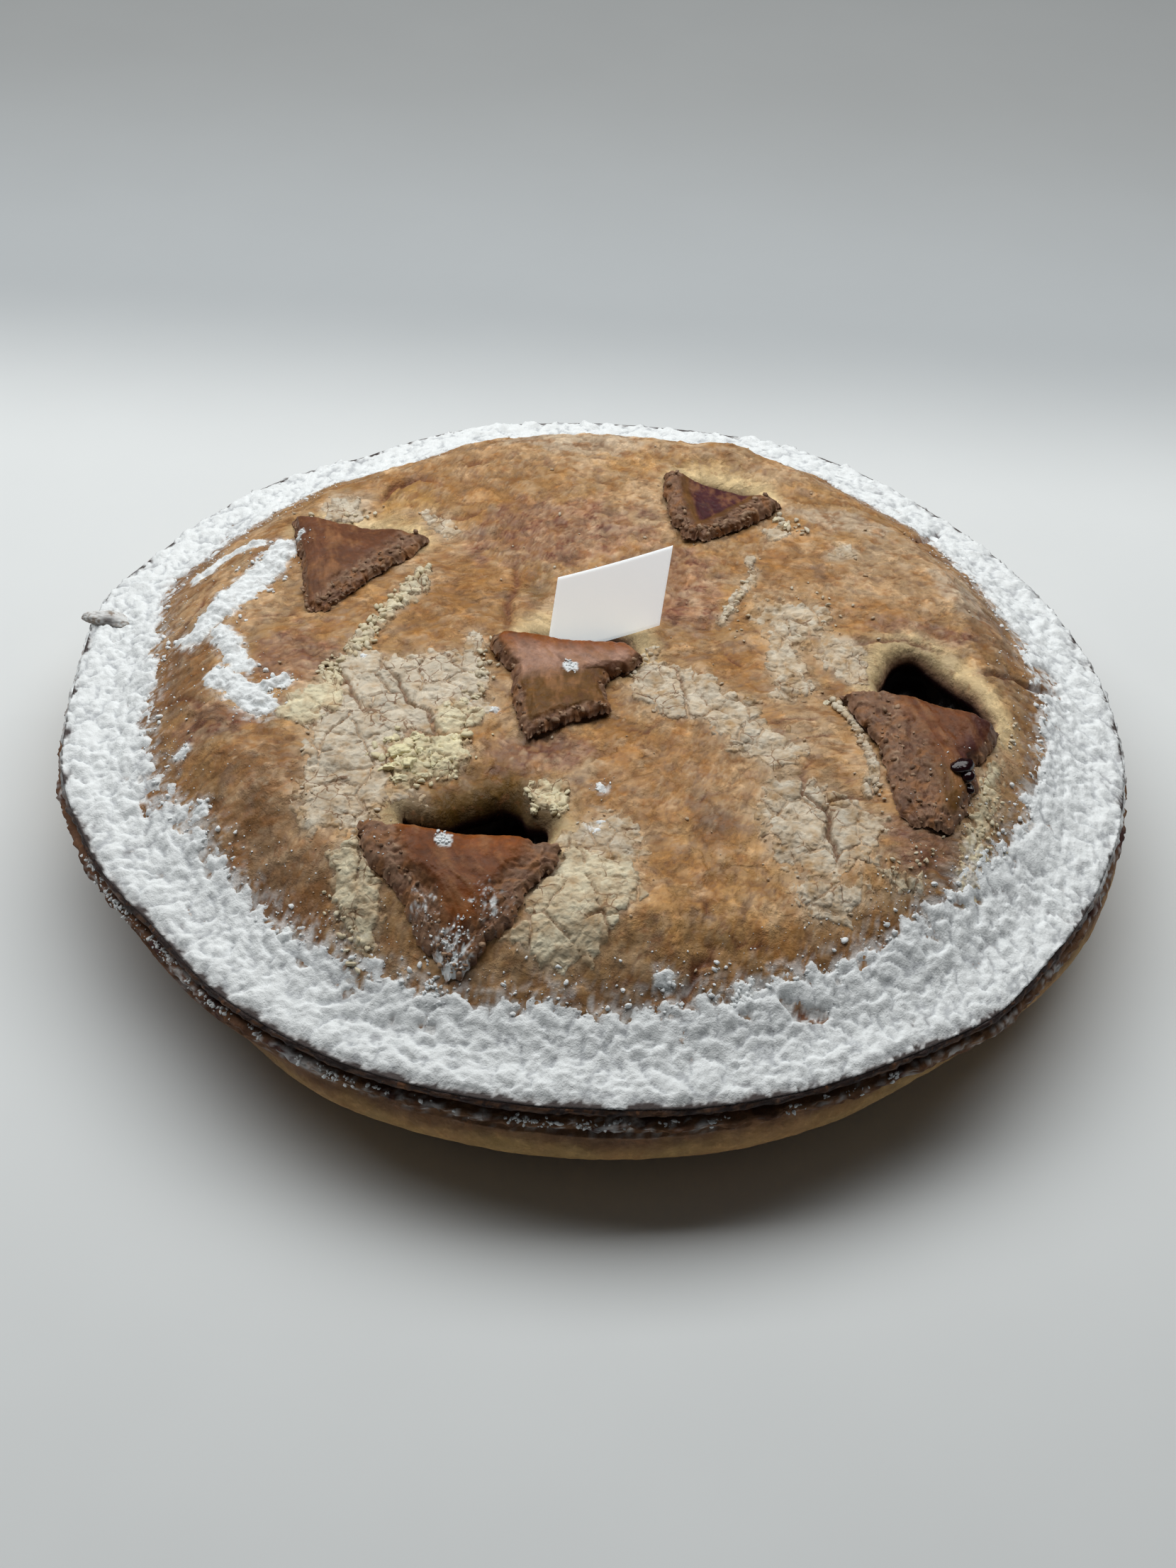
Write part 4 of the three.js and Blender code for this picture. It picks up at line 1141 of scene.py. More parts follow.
def build_lid(material):
    x, y, quads, edge = disc_grid(LID_STEPS)
    x, y = spread_to_rim(x, y)
    quads = quads[np.all(VENT_FIELD.at(x, y)[quads] > 0, axis=1)]
    snap_to_vents(x, y, quads, edge)
    z = crust_height(x, y)
    phi = np.arctan2(y[edge], x[edge])
    ragged = 0.25 + 0.7 * MIDDLE.fractal(phi * 24, 0 * phi, size=1.0, octaves=5)
    x[edge], y[edge] = polar(rim_radius(phi) + ragged / 2, phi)
    shell = Shell(np.stack([x, y, z], axis=1), quads, edge)
    lid_edge(shell, phi, ragged)
    rings = [shell.ring, *lid_walls(shell, open_rings(quads, edge))]
    more, triangles = close_underside(np.concatenate(shell.points), rings)
    points, faces, _ = tidy_mesh(np.concatenate([*shell.points, more]), [*shell.faces, triangles], {})
    layers = {"tint": lid_tint(*points.T), "shine": np.zeros(len(points))}
    return make_mesh("lid_crust_baked", points, faces, layers, material, "lid_crust", "crust_lid")


# ---------------------------------------------------------------- skins that lie on the lid
SKIN_STEP = 0.37
SKIN_BLOCK = 4
# thickness from which a point counts as raised, lowest place of the top and depth of the underside
SKIN_RAISED = 0.02
SKIN_SINK = -0.75
SKIN_DEPTH = 1.6
CELL_TILT = 0.05
# way from the flaps and the cuts that pale crust and fallen sugar keep
CRUST_CLEAR = (0.6, 3.0)
SUGAR_CLEAR = (0.4, 2.0)


def kept_blocks(raised):
    """Blocks of the grid in which any point is raised."""
    rows, columns = raised.shape
    tall, wide = (rows - 1) // SKIN_BLOCK, (columns - 1) // SKIN_BLOCK
    keep = np.zeros((tall, wide), bool)
    for dj, di in itertools.product(range(SKIN_BLOCK + 1), repeat=2):
        keep |= raised[dj:dj + tall * SKIN_BLOCK:SKIN_BLOCK, di:di + wide * SKIN_BLOCK:SKIN_BLOCK]
    return keep


def block_sides(keep, number, below):
    """Faces from the fine top to the coarse underside, round the blocks that are kept."""
    tall, wide = keep.shape
    padded = np.pad(keep, 1)
    sides = []
    for dj, di in ((-1, 0), (0, 1), (1, 0), (0, -1)):
        open_side = keep & ~padded[1 + dj:1 + dj + tall, 1 + di:1 + di + wide]
        for j, i in zip(*np.nonzero(open_side)):
            j0, i0 = j * SKIN_BLOCK, i * SKIN_BLOCK
            j1, i1 = j0 + SKIN_BLOCK, i0 + SKIN_BLOCK
            edge = {(-1, 0): number[j0, i0:i1 + 1], (0, 1): number[j0:j1 + 1, i1],
                    (1, 0): number[j1, i0:i1 + 1][::-1], (0, -1): number[j0:j1 + 1, i0][::-1]}[dj, di]
            sides.append([edge[0] + below, edge[-1] + below, *edge[::-1]])
    return np.array(sides)


def lay_skin(name, low, high, surface, material, slot):
    """A closed skin over the blocks of the lid where surface(x, y) gives a thickness above its floor."""
    columns, rows = (int((b - a) / (SKIN_STEP * SKIN_BLOCK)) * SKIN_BLOCK + 1 for a, b in zip(low, high))
    across, along = (a + SKIN_STEP * np.arange(n) for a, n in zip(low, (columns, rows)))
    y, x = (g.ravel() for g in np.meshgrid(along, across, indexing="ij"))
    thick, colour = surface(x, y)
    keep = kept_blocks((thick > SKIN_RAISED).reshape(rows, columns))
    fine_keep = np.repeat(np.repeat(keep, SKIN_BLOCK, axis=0), SKIN_BLOCK, axis=1)
    top_faces = grid_quads(rows, columns).reshape(rows - 1, columns - 1, 4)[fine_keep]
    ground = crust_height(x, y)
    top = np.stack([x, y, ground + np.maximum(thick, SKIN_SINK)], axis=1)
    # a coarse underside, one face for each block, and side faces that join it to the fine top
    bottom = np.stack([x, y, ground - SKIN_DEPTH], axis=1)
    below = rows * columns
    number = np.arange(below).reshape(rows, columns)
    corner = number[::SKIN_BLOCK, ::SKIN_BLOCK]
    a, b, c, d = corner[:-1, :-1], corner[:-1, 1:], corner[1:, 1:], corner[1:, :-1]
    under_faces = np.stack([a, d, c, b], axis=-1)[keep] + below
    layers = {"tint": np.concatenate([colour, colour]), "shine": np.zeros(2 * below)}
    faces = [top_faces, under_faces, block_sides(keep, number, below)]
    return make_mesh(name, *tidy_mesh(np.concatenate([top, bottom]), faces, layers), material, None, slot)


def pale_place(x, y):
    """What the plates of pale crust have in common at their places."""
    return SimpleNamespace(
        x=x + 0.8 * FINE.fractal(x, y, size=3.4, octaves=3),
        y=y + 0.8 * FINE.fractal(x + 31, y, size=3.4, octaves=3),
        fine=FINE.fractal(x, y, size=1.5, octaves=2),
        clouds=MIDDLE.fractal(x - 11, y + 4, size=5.0, octaves=4, gain=0.6),
        some=smooth(-0.15, 0.25, BROAD.fractal(x + 7, y, size=13.0, octaves=2)),
        browner=0.26 * np.maximum(smooth(-20.0, 15.0, x), smooth(-48.0, -62.0, y)),
        torn=tears(x, y)[1],
        wander=ragged_wander(x, y),
    )


def pale_plates(place, spot, k):
    """Height of one patch of pale crust with the share of its colour, how toasted it is and its cracks."""
    border, (from_x, from_y), chance = crackle(place.x, place.y, spot.get("cell", 2.4), 40 + k)
    plate_border, _, plate_chance = crackle(place.x, place.y, spot["plate"], 80 + k)
    middle = crust_share(place.x - from_x, place.y - from_y, spot, place.wander)
    stays = smooth(-0.04, 0.04, 1.5 * middle - 0.1 - chance)
    lean = 9 * TAU * chance
    tilt = CELL_TILT * (from_x * np.cos(lean) + from_y * np.sin(lean))
    groove = bell(border / 0.36)
    domed = 1 - mix(0.5, 0.12, middle) * groove
    high = spot["thick"] * mix(0.45, 1.0, middle) * (0.75 + 0.35 * chance) * domed
    split = bell(plate_border / 0.3) * smooth(0.2, 0.6, 0.7 * place.some + 0.5 * plate_chance)
    crack = np.maximum(split, place.torn)
    height = (high + tilt + 0.1 * place.fine) * (1 - 0.75 * crack) - 0.5 * split - 0.9 * (1 - stays)
    browned = 0.3 * chance + 0.7 * (1 - middle) + 0.15 * groove + 1.2 * place.clouds - 0.1 + place.browner
    return height, smooth(0.0, 0.5, middle) * stays, clamp01(browned), crack


def pale_skin(x, y):
    """Thickness and colour of the cracked pale crust: plates of domed cells, fewer towards its border."""
    place = pale_place(x, y)
    thick = np.full(len(x), -1.0)
    flap, vent = FLAP_FIELD.at(x, y), VENT_FIELD.at(x, y)
    colour = lid_colour(x, y, np.maximum(vent, 0))
    for k, spot in enumerate(PALE_CRUST):
        share = crust_share(x, y, spot, place.wander)
        near = np.nonzero(share > 0.02)[0]
        if not len(near):
            continue
        here = SimpleNamespace(**{key: values[near] for key, values in vars(place).items()})
        height, cover, browned, crack = pale_plates(here, spot, k)
        taller = height > thick[near]
        at = near[taller]
        thick[at] = height[taller]
        shade = tinted(plain(CREAM, at), FRESH_CREAM, np.full(len(at), spot.get("fresh", 0.0)))
        shade = tinted(shade, TOASTED, browned[taller])
        shade = tinted(shade, GOLDEN, 0.5 * smooth(0.25, 0.5, here.clouds[taller]))
        shade = tinted(colour[at], shade, cover[taller])
        colour[at] = tinted(shade, CRACK, 0.8 * smooth(0.2, 0.9, crack[taller]))
    thick = np.where(flap < CRUST_CLEAR[0], -1.0, thick)
    thick = np.where(vent < CRUST_CLEAR[1], np.minimum(thick, -1 + 0.5 * smooth(1.5, 3.0, vent)), thick)
    return thick, tinted(colour, SUGAR, 0.8 * dusting(x, y))


def sugar_skin(x, y):
    """Thickness and colour of the sugar that fell on the lid, clear of the flaps and the cuts."""
    covered = (FLAP_FIELD.at(x, y) < SUGAR_CLEAR[0]) | (VENT_FIELD.at(x, y) < SUGAR_CLEAR[1])
    thick = np.where(covered, -1.0, fallen_sugar(x, y))
    return thick, tinted(plain(SUGAR, x), THIN_SUGAR, 0.6 * smooth(0.35, -0.1, thick))


# ---------------------------------------------------------------- flaps
# heights at the fold and the tip; widths of the torn band on the left, on the right and at the tip; bulge of
# the face and its colours at the fold, in the middle and at the tip; sides from fold to tip; fold from left
FLAPS = {
    "flap_front": dict(
        rise=5.2, tip=3, bands=(10, 8, 4), bulge=1.4, face=(FLAP_ORANGE, FLAP_BROWN, FLAP_ORANGE),
        left=[(-55.5, -74.5), (-52.9, -84.4), (-50, -89.2), (-45.6, -92.3), (-42, -98.2), (-39.6, -102.4),
              (-37.2, -106.1), (-32.9, -109.4), (-31, -113)],
        right=[(-6.5, -79.5), (-7.6, -86), (-10.8, -89.8), (-14.5, -95.7), (-16.9, -102.8), (-21, -105.7),
               (-24.9, -109.8), (-27.5, -112.2)],
        fold=[(-55.5, -74.5), (-50, -75.2), (-43.7, -78.2), (-36.4, -79.0), (-32.2, -79.8), (-17.9, -80.2),
              (-11.4, -80.6), (-6.5, -79.5)],
    ),
    "flap_right": dict(
        rise=5.2, tip=3, bands=(13, 2.2, 9), bulge=1.0, face=(FLAP_BROWN, FLAP_BROWN, FLAP_YELLOW),
        left=[(61.5, -16.5), (65.2, -24.9), (70.8, -35.8), (72.6, -49.2), (73.9, -57.8), (78, -62)],
        right=[(102, -22.5), (101.1, -27.2), (97.3, -34.4), (94.3, -36.7), (95.5, -41.5), (93.4, -47.6),
               (91.7, -52.4), (87, -60.5)],
        fold=[(61.5, -16.5), (66, -16), (72.1, -15.6), (80.2, -18.6), (87.2, -21.8), (91.4, -21.6),
              (96.9, -23.2), (102, -22.5)],
    ),
    "flap_centre": dict(
        rise=5.4, tip=4.5, bands=(2.4, 1.8, 3.6), bulge=0.9, face=(FLAP_ORANGE, REDDISH, FLAP_YELLOW),
        left=[(-27.6, -3), (-29, -7.4), (-26.8, -12.8), (-22.8, -18), (-22, -26.1), (-20.2, -34.7),
              (-17.4, -42)],
        right=[(6, -4.8), (10.6, -9.4), (7.8, -13.8), (2.2, -16), (1, -21), (2.3, -26.3), (3.4, -31)],
        fold=[(-27.6, -3), (-20.8, -5), (-17.2, -5.8), (-10, -7.4), (-4.7, -7.4), (0.5, -6.4), (6, -4.8)],
    ),
    "flap_back_left": dict(
        rise=6, tip=3, bands=(1.4, 6.5, 3), bulge=0.6, face=(FLAP_PURPLE, FLAP_PURPLE, DARK_BROWN),
        left=[(-88, 46), (-84.6, 34), (-82, 24), (-80.4, 14), (-78.5, 6)],
        right=[(-49, 40), (-52.5, 33), (-57, 27), (-63.5, 19), (-69, 11), (-73.5, 6)],
        fold=[(-88, 46), (-78, 43.4), (-68, 41.6), (-58, 40.4), (-49, 40)],
    ),
    "flap_back_right": dict(
        rise=6, tip=4, bands=(5.5, 6, 4), bulge=-1.6, face=(JAM_STAIN, JAM_STAIN, JAM_STAIN),
        left=[(14.5, 79), (14.4, 70), (15.5, 62), (17, 54), (20, 47)],
        right=[(48, 67), (44, 61.5), (39, 56.5), (33, 51), (27, 46.5)],
        fold=[(14.5, 79), (23, 74.6), (31, 71.4), (40, 68.6), (48, 67)],
    ),
}
FLAP_GRID = 106
# way to a flap's side as a share of the way straight across it
FLAP_SLANT = 0.86
# rings of a flap's underside: way inwards and share of the edge's height
FLAP_UNDERSIDE = ((0.25, 0.55), (1.1, 0.2), (1.8, -0.15))
FLAP_SINK = 0.6


def along_points(points, t):
    """Places on a line through points, at shares of its length."""
    p = np.asarray(points, float)
    reach = np.concatenate([[0], np.cumsum(np.hypot(*np.diff(p, axis=0).T))])
    reach = reach / reach[-1]
    return np.stack([np.interp(t, reach, p[:, 0]), np.interp(t, reach, p[:, 1])], axis=-1)


def flap_outline(form):
    t = np.linspace(0, 1, 24)
    left, right = along_points(form["left"], t), along_points(form["right"], t)
    fold = along_points(form["fold"], t)[::-1]
    return np.concatenate([left, right[::-1], fold[1:-1]])


# sugar dust on the flaps: x, y, reach, cover
FLAP_POWDER = [(-34, -84, 2.8, 1.6), (-30, -110, 8, 0.7), (-38, -99, 5, 0.4), (-22, -99, 6, 0.4),
               (-8, -19, 2.4, 1.6), (-84, 36, 1.6, 1.4), (90.4, -41.8, 1.2, 1.5)]
# jam that ran over the right flap
JAM_PATH = [(101, -20), (98, -21), (97, -25), (95, -31), (91, -38)]
WET_SPOT = (98.5, -20.5)
FLAP_FIELD = Field([flap_outline(form) for form in FLAPS.values()])
FLAP_TOPS = {}


def torn_layers(x, y, across, along, seed):
    """Height of torn, flaky pastry: low ridges along the edge, broken into crumbs."""
    bend = 2.2 * MIDDLE.fractal(x + seed, y, size=5.0, octaves=3)
    ridges = MIDDLE.fractal((along + bend) / 8.0, (across + bend) / 2.4 + seed, octaves=3, gain=0.6)
    crumbs = MIDDLE.billow(x + seed, y - seed, size=2.6, octaves=3, gain=0.6)
    grains = FINE.fractal(x, y + seed, size=1.4, octaves=2)
    return 0.55 * ridges + 1.1 * (crumbs - 0.5) + 0.3 * grains


def flap_surface(form, seed):
    """A flap's upper face: points, distances, folds, share of torn pastry and its crumbs."""
    s = np.linspace(0, 1, FLAP_GRID)
    v, u = np.meshgrid(s, s, indexing="ij")
    # v runs from fold to tip, u from left to right
    left, right, fold_line = (along_points(form[key], s) for key in ("left", "right", "fold"))
    plan = mix(left[:, None], right[:, None], u[..., None])
    plan += (fold_line - mix(left[0], right[0], s[:, None]))[None] * ((1 - v) ** 1.5)[..., None]
    width = np.hypot(*(right - left).T)[:, None]
    length = math.dist(form["left"][0], form["left"][-1])
    x, y = plan[..., 0], plan[..., 1]
    to_left, to_right = u * width * FLAP_SLANT, (1 - u) * width * FLAP_SLANT
    to_tip, to_fold = (1 - v) * length, v * length
    side = np.minimum(to_left, to_right)
    wiggle = 3.2 * MIDDLE.fractal(x + seed, y, size=7.0, octaves=5, gain=0.65)
    bands = [1 - smooth(b * 0.55, b * 1.05, d + wiggle * min(1.0, b / 6))
             for b, d in zip(form["bands"], (to_left, to_right, to_tip))]
    torn = np.max(bands, axis=0)
    shoulder, fold, end = round_off(side, 4.2), round_off(to_fold, 3.5), round_off(to_tip, 2.0)
    thick = mix(form["rise"], form["tip"], v) * mix(0.3, 1, shoulder) * mix(0.35, 1, fold) * mix(0.45, 1, end)
    crumble = torn_layers(x, y, np.minimum(side, to_tip), to_fold + 0.8 * u * width, seed)
    folds = MIDDLE.fractal(u * width / 4.0, to_fold / 16.0 + seed, octaves=4, gain=0.6)
    face = 0.5 * MIDDLE.fractal(x, y + seed, size=8.0, octaves=4) + 0.6 * folds
    face = face + 0.12 * FINE.fractal(x, y, size=1.6)
    bulge = form["bulge"] * smooth(2.0, 9.0, side) * smooth(0, 6, to_tip) * (1 - 0.6 * v)
    height = thick + (bulge + face) * (1 - torn) + torn * (mix(0.6, 1, shoulder) * crumble - 0.5)
    centre = plan.mean(axis=(0, 1))
    outward = (plan - centre) / np.maximum(np.hypot(*np.moveaxis(plan - centre, -1, 0)), 1e-6)[..., None]
    edge = smooth(3.0, 0.0, np.minimum(side, to_tip))
    spread = torn * (1.0 + 0.8 * edge)
    x = x + spread * 0.9 * FINE.fractal(x + seed, y, size=2.6, octaves=3, gain=0.6)
    y = y + spread * 0.9 * FINE.fractal(x, y - seed, size=2.6, octaves=3, gain=0.6)
    z = lid_height(x, y) + np.maximum(height, 0.35)
    return SimpleNamespace(top=np.stack([x, y, z], axis=-1), v=v, side=side, folds=folds, torn=torn,
                           crumble=crumble, outward=outward)


def powder_share(x, y, grain):
    """Share of sugar dust on the flaps."""
    return np.max([smooth(0.0, 0.35, cover * (1 - np.hypot(x - px, y - py) / reach) + 0.8 * grain - 0.25)
                   for px, py, reach, cover in FLAP_POWDER], axis=0)


def flap_colour(name, form, face):
    """Colour and shine of a flap's upper face."""
    x, y, v, crumble = face.top[..., 0], face.top[..., 1], face.v, face.crumble
    # tone: random tone less the folds' height, so fold hollows take painted shade (darker brown) and fold
    # crests painted light (paler tan)
    tone = 0.5 * MIDDLE.fractal(x, y, size=7.0, octaves=5, gain=0.6) - 0.7 * face.folds
    grain = FINE.fractal(x + 5, y, size=1.7, octaves=3, gain=0.65)
    first, middle, last = form["face"]
    colour = plain(first, x)
    for other, share in ((middle, smooth(0.08, 0.3, v + 0.2 * tone)),
                         (last, smooth(0.45, 0.62, v + 0.2 * tone)),
                         (DARK_BROWN, 0.6 * smooth(0.05, 0.4, tone)),
                         (FLAP_TAN, 0.5 * smooth(0.05, -0.3, tone)),
                         (TORN_DARK, 0.35 * smooth(0.2, 0.5, grain))):
        colour = tinted(colour, other, share)
    # painted light and shade on the torn band: crumb tops painted paler, the crevices between crumbs and the
    # fold hollows painted dark
    rough = tinted(plain(TORN, x), TORN_PALE, smooth(0.0, 0.7, crumble))
    crevice_shade = 0.9 * smooth(-0.1, -0.7, crumble) + 0.3 * smooth(0.1, 0.5, tone)
    rough = tinted(rough, TORN_DARK, clamp01(crevice_shade))
    rough = tinted(rough, TORN_BROWN, 0.6 * smooth(0.0, 0.3, MIDDLE.fractal(x - 9, y, size=4.0, octaves=3)))
    colour = tinted(colour, rough, face.torn)
    whole = 1 - face.torn
    shine = 0.2 * whole * (1 - smooth(0.3, 0.6, v))
    if name == "flap_back_right":
        pale = smooth(7.5, 6.0, face.side)
        colour = tinted(colour, FLAP_YELLOW, 0.8 * pale * whole)
        colour = tinted(colour, DRIED_JAM, 0.7 * smooth(0.0, 0.4, tone) * whole * (1 - pale))
    if name == "flap_right":
        d, along = path_distance(x, y, JAM_PATH)
        wet = bell(np.hypot(x - WET_SPOT[0], (y - WET_SPOT[1]) * 1.3) / 4.0)
        streak = bell(d / mix(3.2, 2.2, along)) * (0.75 + 0.5 * tone)
        colour = tinted(colour, JAM_STREAK, 0.85 * clamp01(streak))
        colour = tinted(colour, WET_JAM, 0.9 * wet)
        shine = np.maximum(shine, 0.9 * wet)
    return tinted(colour, SUGAR, powder_share(x, y, grain)), shine


def build_flap(name, form, material, seed):
    face = flap_surface(form, seed)
    colour, shine = flap_colour(name, form, face)
    top = face.top.reshape(-1, 3)
    FLAP_TOPS[name] = (top, face.torn.ravel(), face.crumble.ravel())
    ring = border_ring(FLAP_GRID, FLAP_GRID)
    edge, out = top[ring], face.outward.reshape(-1, 2)[ring]
    # the grid runs from fold to tip, against the sun, so its faces are turned over
    shell = Shell(top, grid_quads(FLAP_GRID, FLAP_GRID)[:, ::-1], ring)
    for inward, share in FLAP_UNDERSIDE:
        x, y = (edge[:, :2] - inward * out).T
        z = lid_height(x, y) + (edge[:, 2] - lid_height(edge[:, 0], edge[:, 1])) * share
        shell.grow(np.stack([x, y, z], axis=1))
    x, y, _ = edge.mean(0)
    shell.close((x, y, float(lid_height(x, y)) - FLAP_SINK))
    hidden = shell.count - len(top)
    # painted shade: the underside and the undercut foot of the edge are painted very dark
    layers = {"tint": np.concatenate([colour.reshape(-1, 3), plain(TORN_DARK * 0.7, np.zeros(hidden))]),
              "shine": np.concatenate([shine.ravel(), np.zeros(hidden)])}
    return make_mesh(name + "_baked", np.concatenate(shell.points), shell.faces, layers, material, name,
                     "crust_flap")


# ---------------------------------------------------------------- base crust
# radius and height up the side
BASE_PROFILE = [
    (112, 0), (117, 1.2), (121, 3), (125.5, 5.2), (129.5, 8), (132.8, 10.6), (135.5, 13.5),
    (137.8, 15.8), (139.6, 18), (140.7, 20), (141, 22), (140.9, 24), (140.6, 26), (140.6, 27.0),
]
# way out from the rim and height
FLANGE = [(0.6, 27.5), (0.9, 27.9), (1.2, 28.3), (1.4, 28.7), (1.5, 29.1), (1.5, 29.5), (1.4, 29.9),
          (1.1, 30.3), (0.7, 30.6), (0.2, 30.8), (-0.4, 31.0), (-1.0, 31.1), (-2.2, 31.4), (-4.0, 31.4),
          (-14.5, 31.4)]
BASE_SEGMENTS = 740
BASE_FLOOR = 4.5
BASE_FLOOR_RADIUS = 104
BAND_STEPS = 2


def ledge_gap(x, y):
    """Where the base sank away under the lid's edge, 0 to 1."""
    return sector(x, y, -178, -165, -60, -40) * smooth(-0.3, 0.2, BROAD.fractal(x, y, size=16.0))


def base_rings(phi):
    """The base's side from the foot up, and the flange that carries the lid's edge."""
    bulge = (BASE_BULGE_RADIUS + swell(phi, BASE_SWELLS)) / BASE_BULGE_RADIUS
    profile = np.array(BASE_PROFILE, float)
    fine = np.arange(0, len(profile) - 1 + 1e-6, 1 / BAND_STEPS)
    radii, heights = (np.interp(fine, np.arange(len(profile)), column) for column in profile.T)
    rings = [ring_points(r * bulge, phi, z) for r, z in zip(radii, heights)]
    return rings + [ring_points(rim_radius(phi) + out, phi, z) for out, z in FLANGE]


def crumble_base(points):
    """Moves the base's points into dents and crumbs; gives how rough, ledge-like and sunken it is there."""
    x, y, z = points.T.copy()
    rough = MIDDLE.fractal(x, y, z * 1.6, size=4.5, octaves=5)
    layers = FINE.fractal(x, y, z * 3.0, size=2.2, octaves=3)
    crumbs = FINE.billow(x, y, z * 1.5, size=2.6, octaves=3)
    ledge = smooth(26.5, 28.2, z) * (z < 31.2)
    left = sector(x, y, -176, -160, -130, -112)
    waves = 0.4 * BROAD.fractal(x, y, z, size=12.0, octaves=3) + 0.15 * layers + 0.3 * rough
    shift = smooth(1.0, 8.0, z) * waves + ledge * (1.1 * rough + 0.5 * layers + 0.9 * (crumbs - 0.5))
    shift = shift - 5.5 * left * smooth(0.0, 10.0, z) * smooth(27.0, 22.0, z)
    points[:, :2] += np.stack([x, y], axis=1) / np.hypot(x, y)[:, None] * shift[:, None]
    arc = np.arctan2(y, x) * RIM_RADIUS
    points[:, 2] += ledge * 0.4 * MIDDLE.fractal(arc, z, size=6.0, octaves=3) * (z < 31)
    x, y, z = points.T.copy()
    points[:, 2] -= 0.9 * ledge_gap(x, y) * smooth(28.5, 31.0, z) * smooth(-9.0, -3.0, past_rim(x, y))
    return rough, ledge, left


def base_colour(x, y, z, rough, ledge, left):
    tone = 0.5 + 0.5 * BROAD.fractal(x, y, z, size=14.0, octaves=4)
    patches = BROAD.fractal(x, y, size=25.0, octaves=2)
    from_rim = past_rim(x, y)
    stain = smooth(0.1, 0.4, BROAD.fractal(x - 70, y, z, size=10.0, octaves=3))
    grain = FINE.fractal(x, y, z, size=1.8, octaves=3) + 0.6 * patches
    dust = smooth(0.1, 0.4, grain) * smooth(-1.2, -0.2, from_rim)
    colour = plain(SAND, x)
    for other, share in ((SAND_BROWN, smooth(0.35, 0.75, tone)),
                         # scorched brown on the left front, darkened further as painted shade where the base
                         # tucks under the flange
                         (BASE_SCORCHED_SHADED, 0.8 * left * smooth(4.0, 15.0, z + 3.0 * rough)),
                         (BASE_BROWN, 0.85 * smooth(22.0, 27.0, z + 2.5 * rough + 4.0 * patches)),
                         (TORN_DARK, 0.75 * smooth(-0.1, 0.5, rough) * ledge),
                         (JAM_STAIN * 0.7, 0.85 * ledge * stain),
                         (SUGAR, 0.5 * dust * smooth(26.0, 28.4, z)),
                         # painted shade: the flange under the lid's edge is painted near black for the gap's
                         # shade
                         (BURNT, 0.8 * smooth(-0.8, -2.0, from_rim) * smooth(29.0, 30.5, z))):
        colour = tinted(colour, other, share)
    return colour


def build_base(material):
    phi = np.arange(BASE_SEGMENTS) / BASE_SEGMENTS * TAU
    rings = base_rings(phi)
    points = np.concatenate(rings)
    rough, ledge, left = crumble_base(points)
    colour = base_colour(*points.T, rough, ledge, left)
    first = np.arange(BASE_SEGMENTS)
    last = len(points) - BASE_SEGMENTS + first
    shell = Shell(points, grid_quads(len(rings), BASE_SEGMENTS, wrap=True), last, turned=False)
    # inner floor, hidden by the filling, and the flat foot
    shell.grow(ring_points(BASE_FLOOR_RADIUS, phi, BASE_FLOOR))
    shell.close((0, 0, BASE_FLOOR))
    shell.points.append(np.zeros((1, 3)))
    shell.faces.append(fan(first, shell.count)[:, ::-1])
    points = np.concatenate(shell.points)
    colour = np.concatenate([colour, plain(SAND, points[len(colour):, 0])])
    layers = {"tint": colour, "shine": np.zeros(len(points))}
    return make_mesh("base_crust_baked", points, shell.faces, layers, material, "base_crust", "crust_base")


# ---------------------------------------------------------------- filling
FILLING_STEPS = 90
FILLING_RADIUS = CAVITY_RADIUS - 0.8
CHERRY_SPACING = 15.0
# radius and height down the side
FILLING_SIDE = ((FILLING_RADIUS, 31), (122, 21), (116, 12), (104, 5))


def build_filling(material):
    """Cherries where the cuts are open, and a mass that fills the crusts elsewhere."""
    x, y, quads, edge = disc_grid(FILLING_STEPS)
    phi = np.arctan2(y, x)
    x, y = polar(np.hypot(x, y) * FILLING_RADIUS / RIM_RADIUS * rim_radius(phi), phi)
    _, from_middle, chance = crackle(x, y, CHERRY_SPACING, 12)
    fruit = 5.0 * np.sqrt(clamp01(1 - (np.hypot(*from_middle) / 7.8) ** 2)) - 2.5 + chance
    full = under_height(x, y) - 0.5
    open_height = VENT_FLOOR + fruit + 0.5 * MIDDLE.fractal(x, y, size=5.0)
    z = mix(np.minimum(open_height, full), full, smooth(3.0, 8.0, VENT_FIELD.at(x, y)))
    shell = Shell(np.stack([x, y, z], axis=1), quads, edge)
    phi = np.arctan2(y[edge], x[edge])
    for radius, height in FILLING_SIDE:
        shell.grow(ring_points(radius * rim_radius(phi) / RIM_RADIUS, phi, height))
    shell.close((0, 0, FILLING_SIDE[-1][1]))
    return make_mesh("cherry_filling_glossy", np.concatenate(shell.points), shell.faces, {}, material,
                     "cherry_filling", "filling")


# ---------------------------------------------------------------- sugar on the rim
SUGAR_SEGMENTS = 1400
SUGAR_ROWS = 56
SUGAR_REACH = 29.0
# least thickness of the film on the burnt border
SUGAR_FILM = 0.16
# rings of the underside, from the rim inwards
SUGAR_UNDERSIDE = (1.0, 0.75, 0.5, 0.25, 0.0)
AWAY_FROM_CUTS = 50.0
BURNT_SPOT = (121, 18, 4, 7, 0)


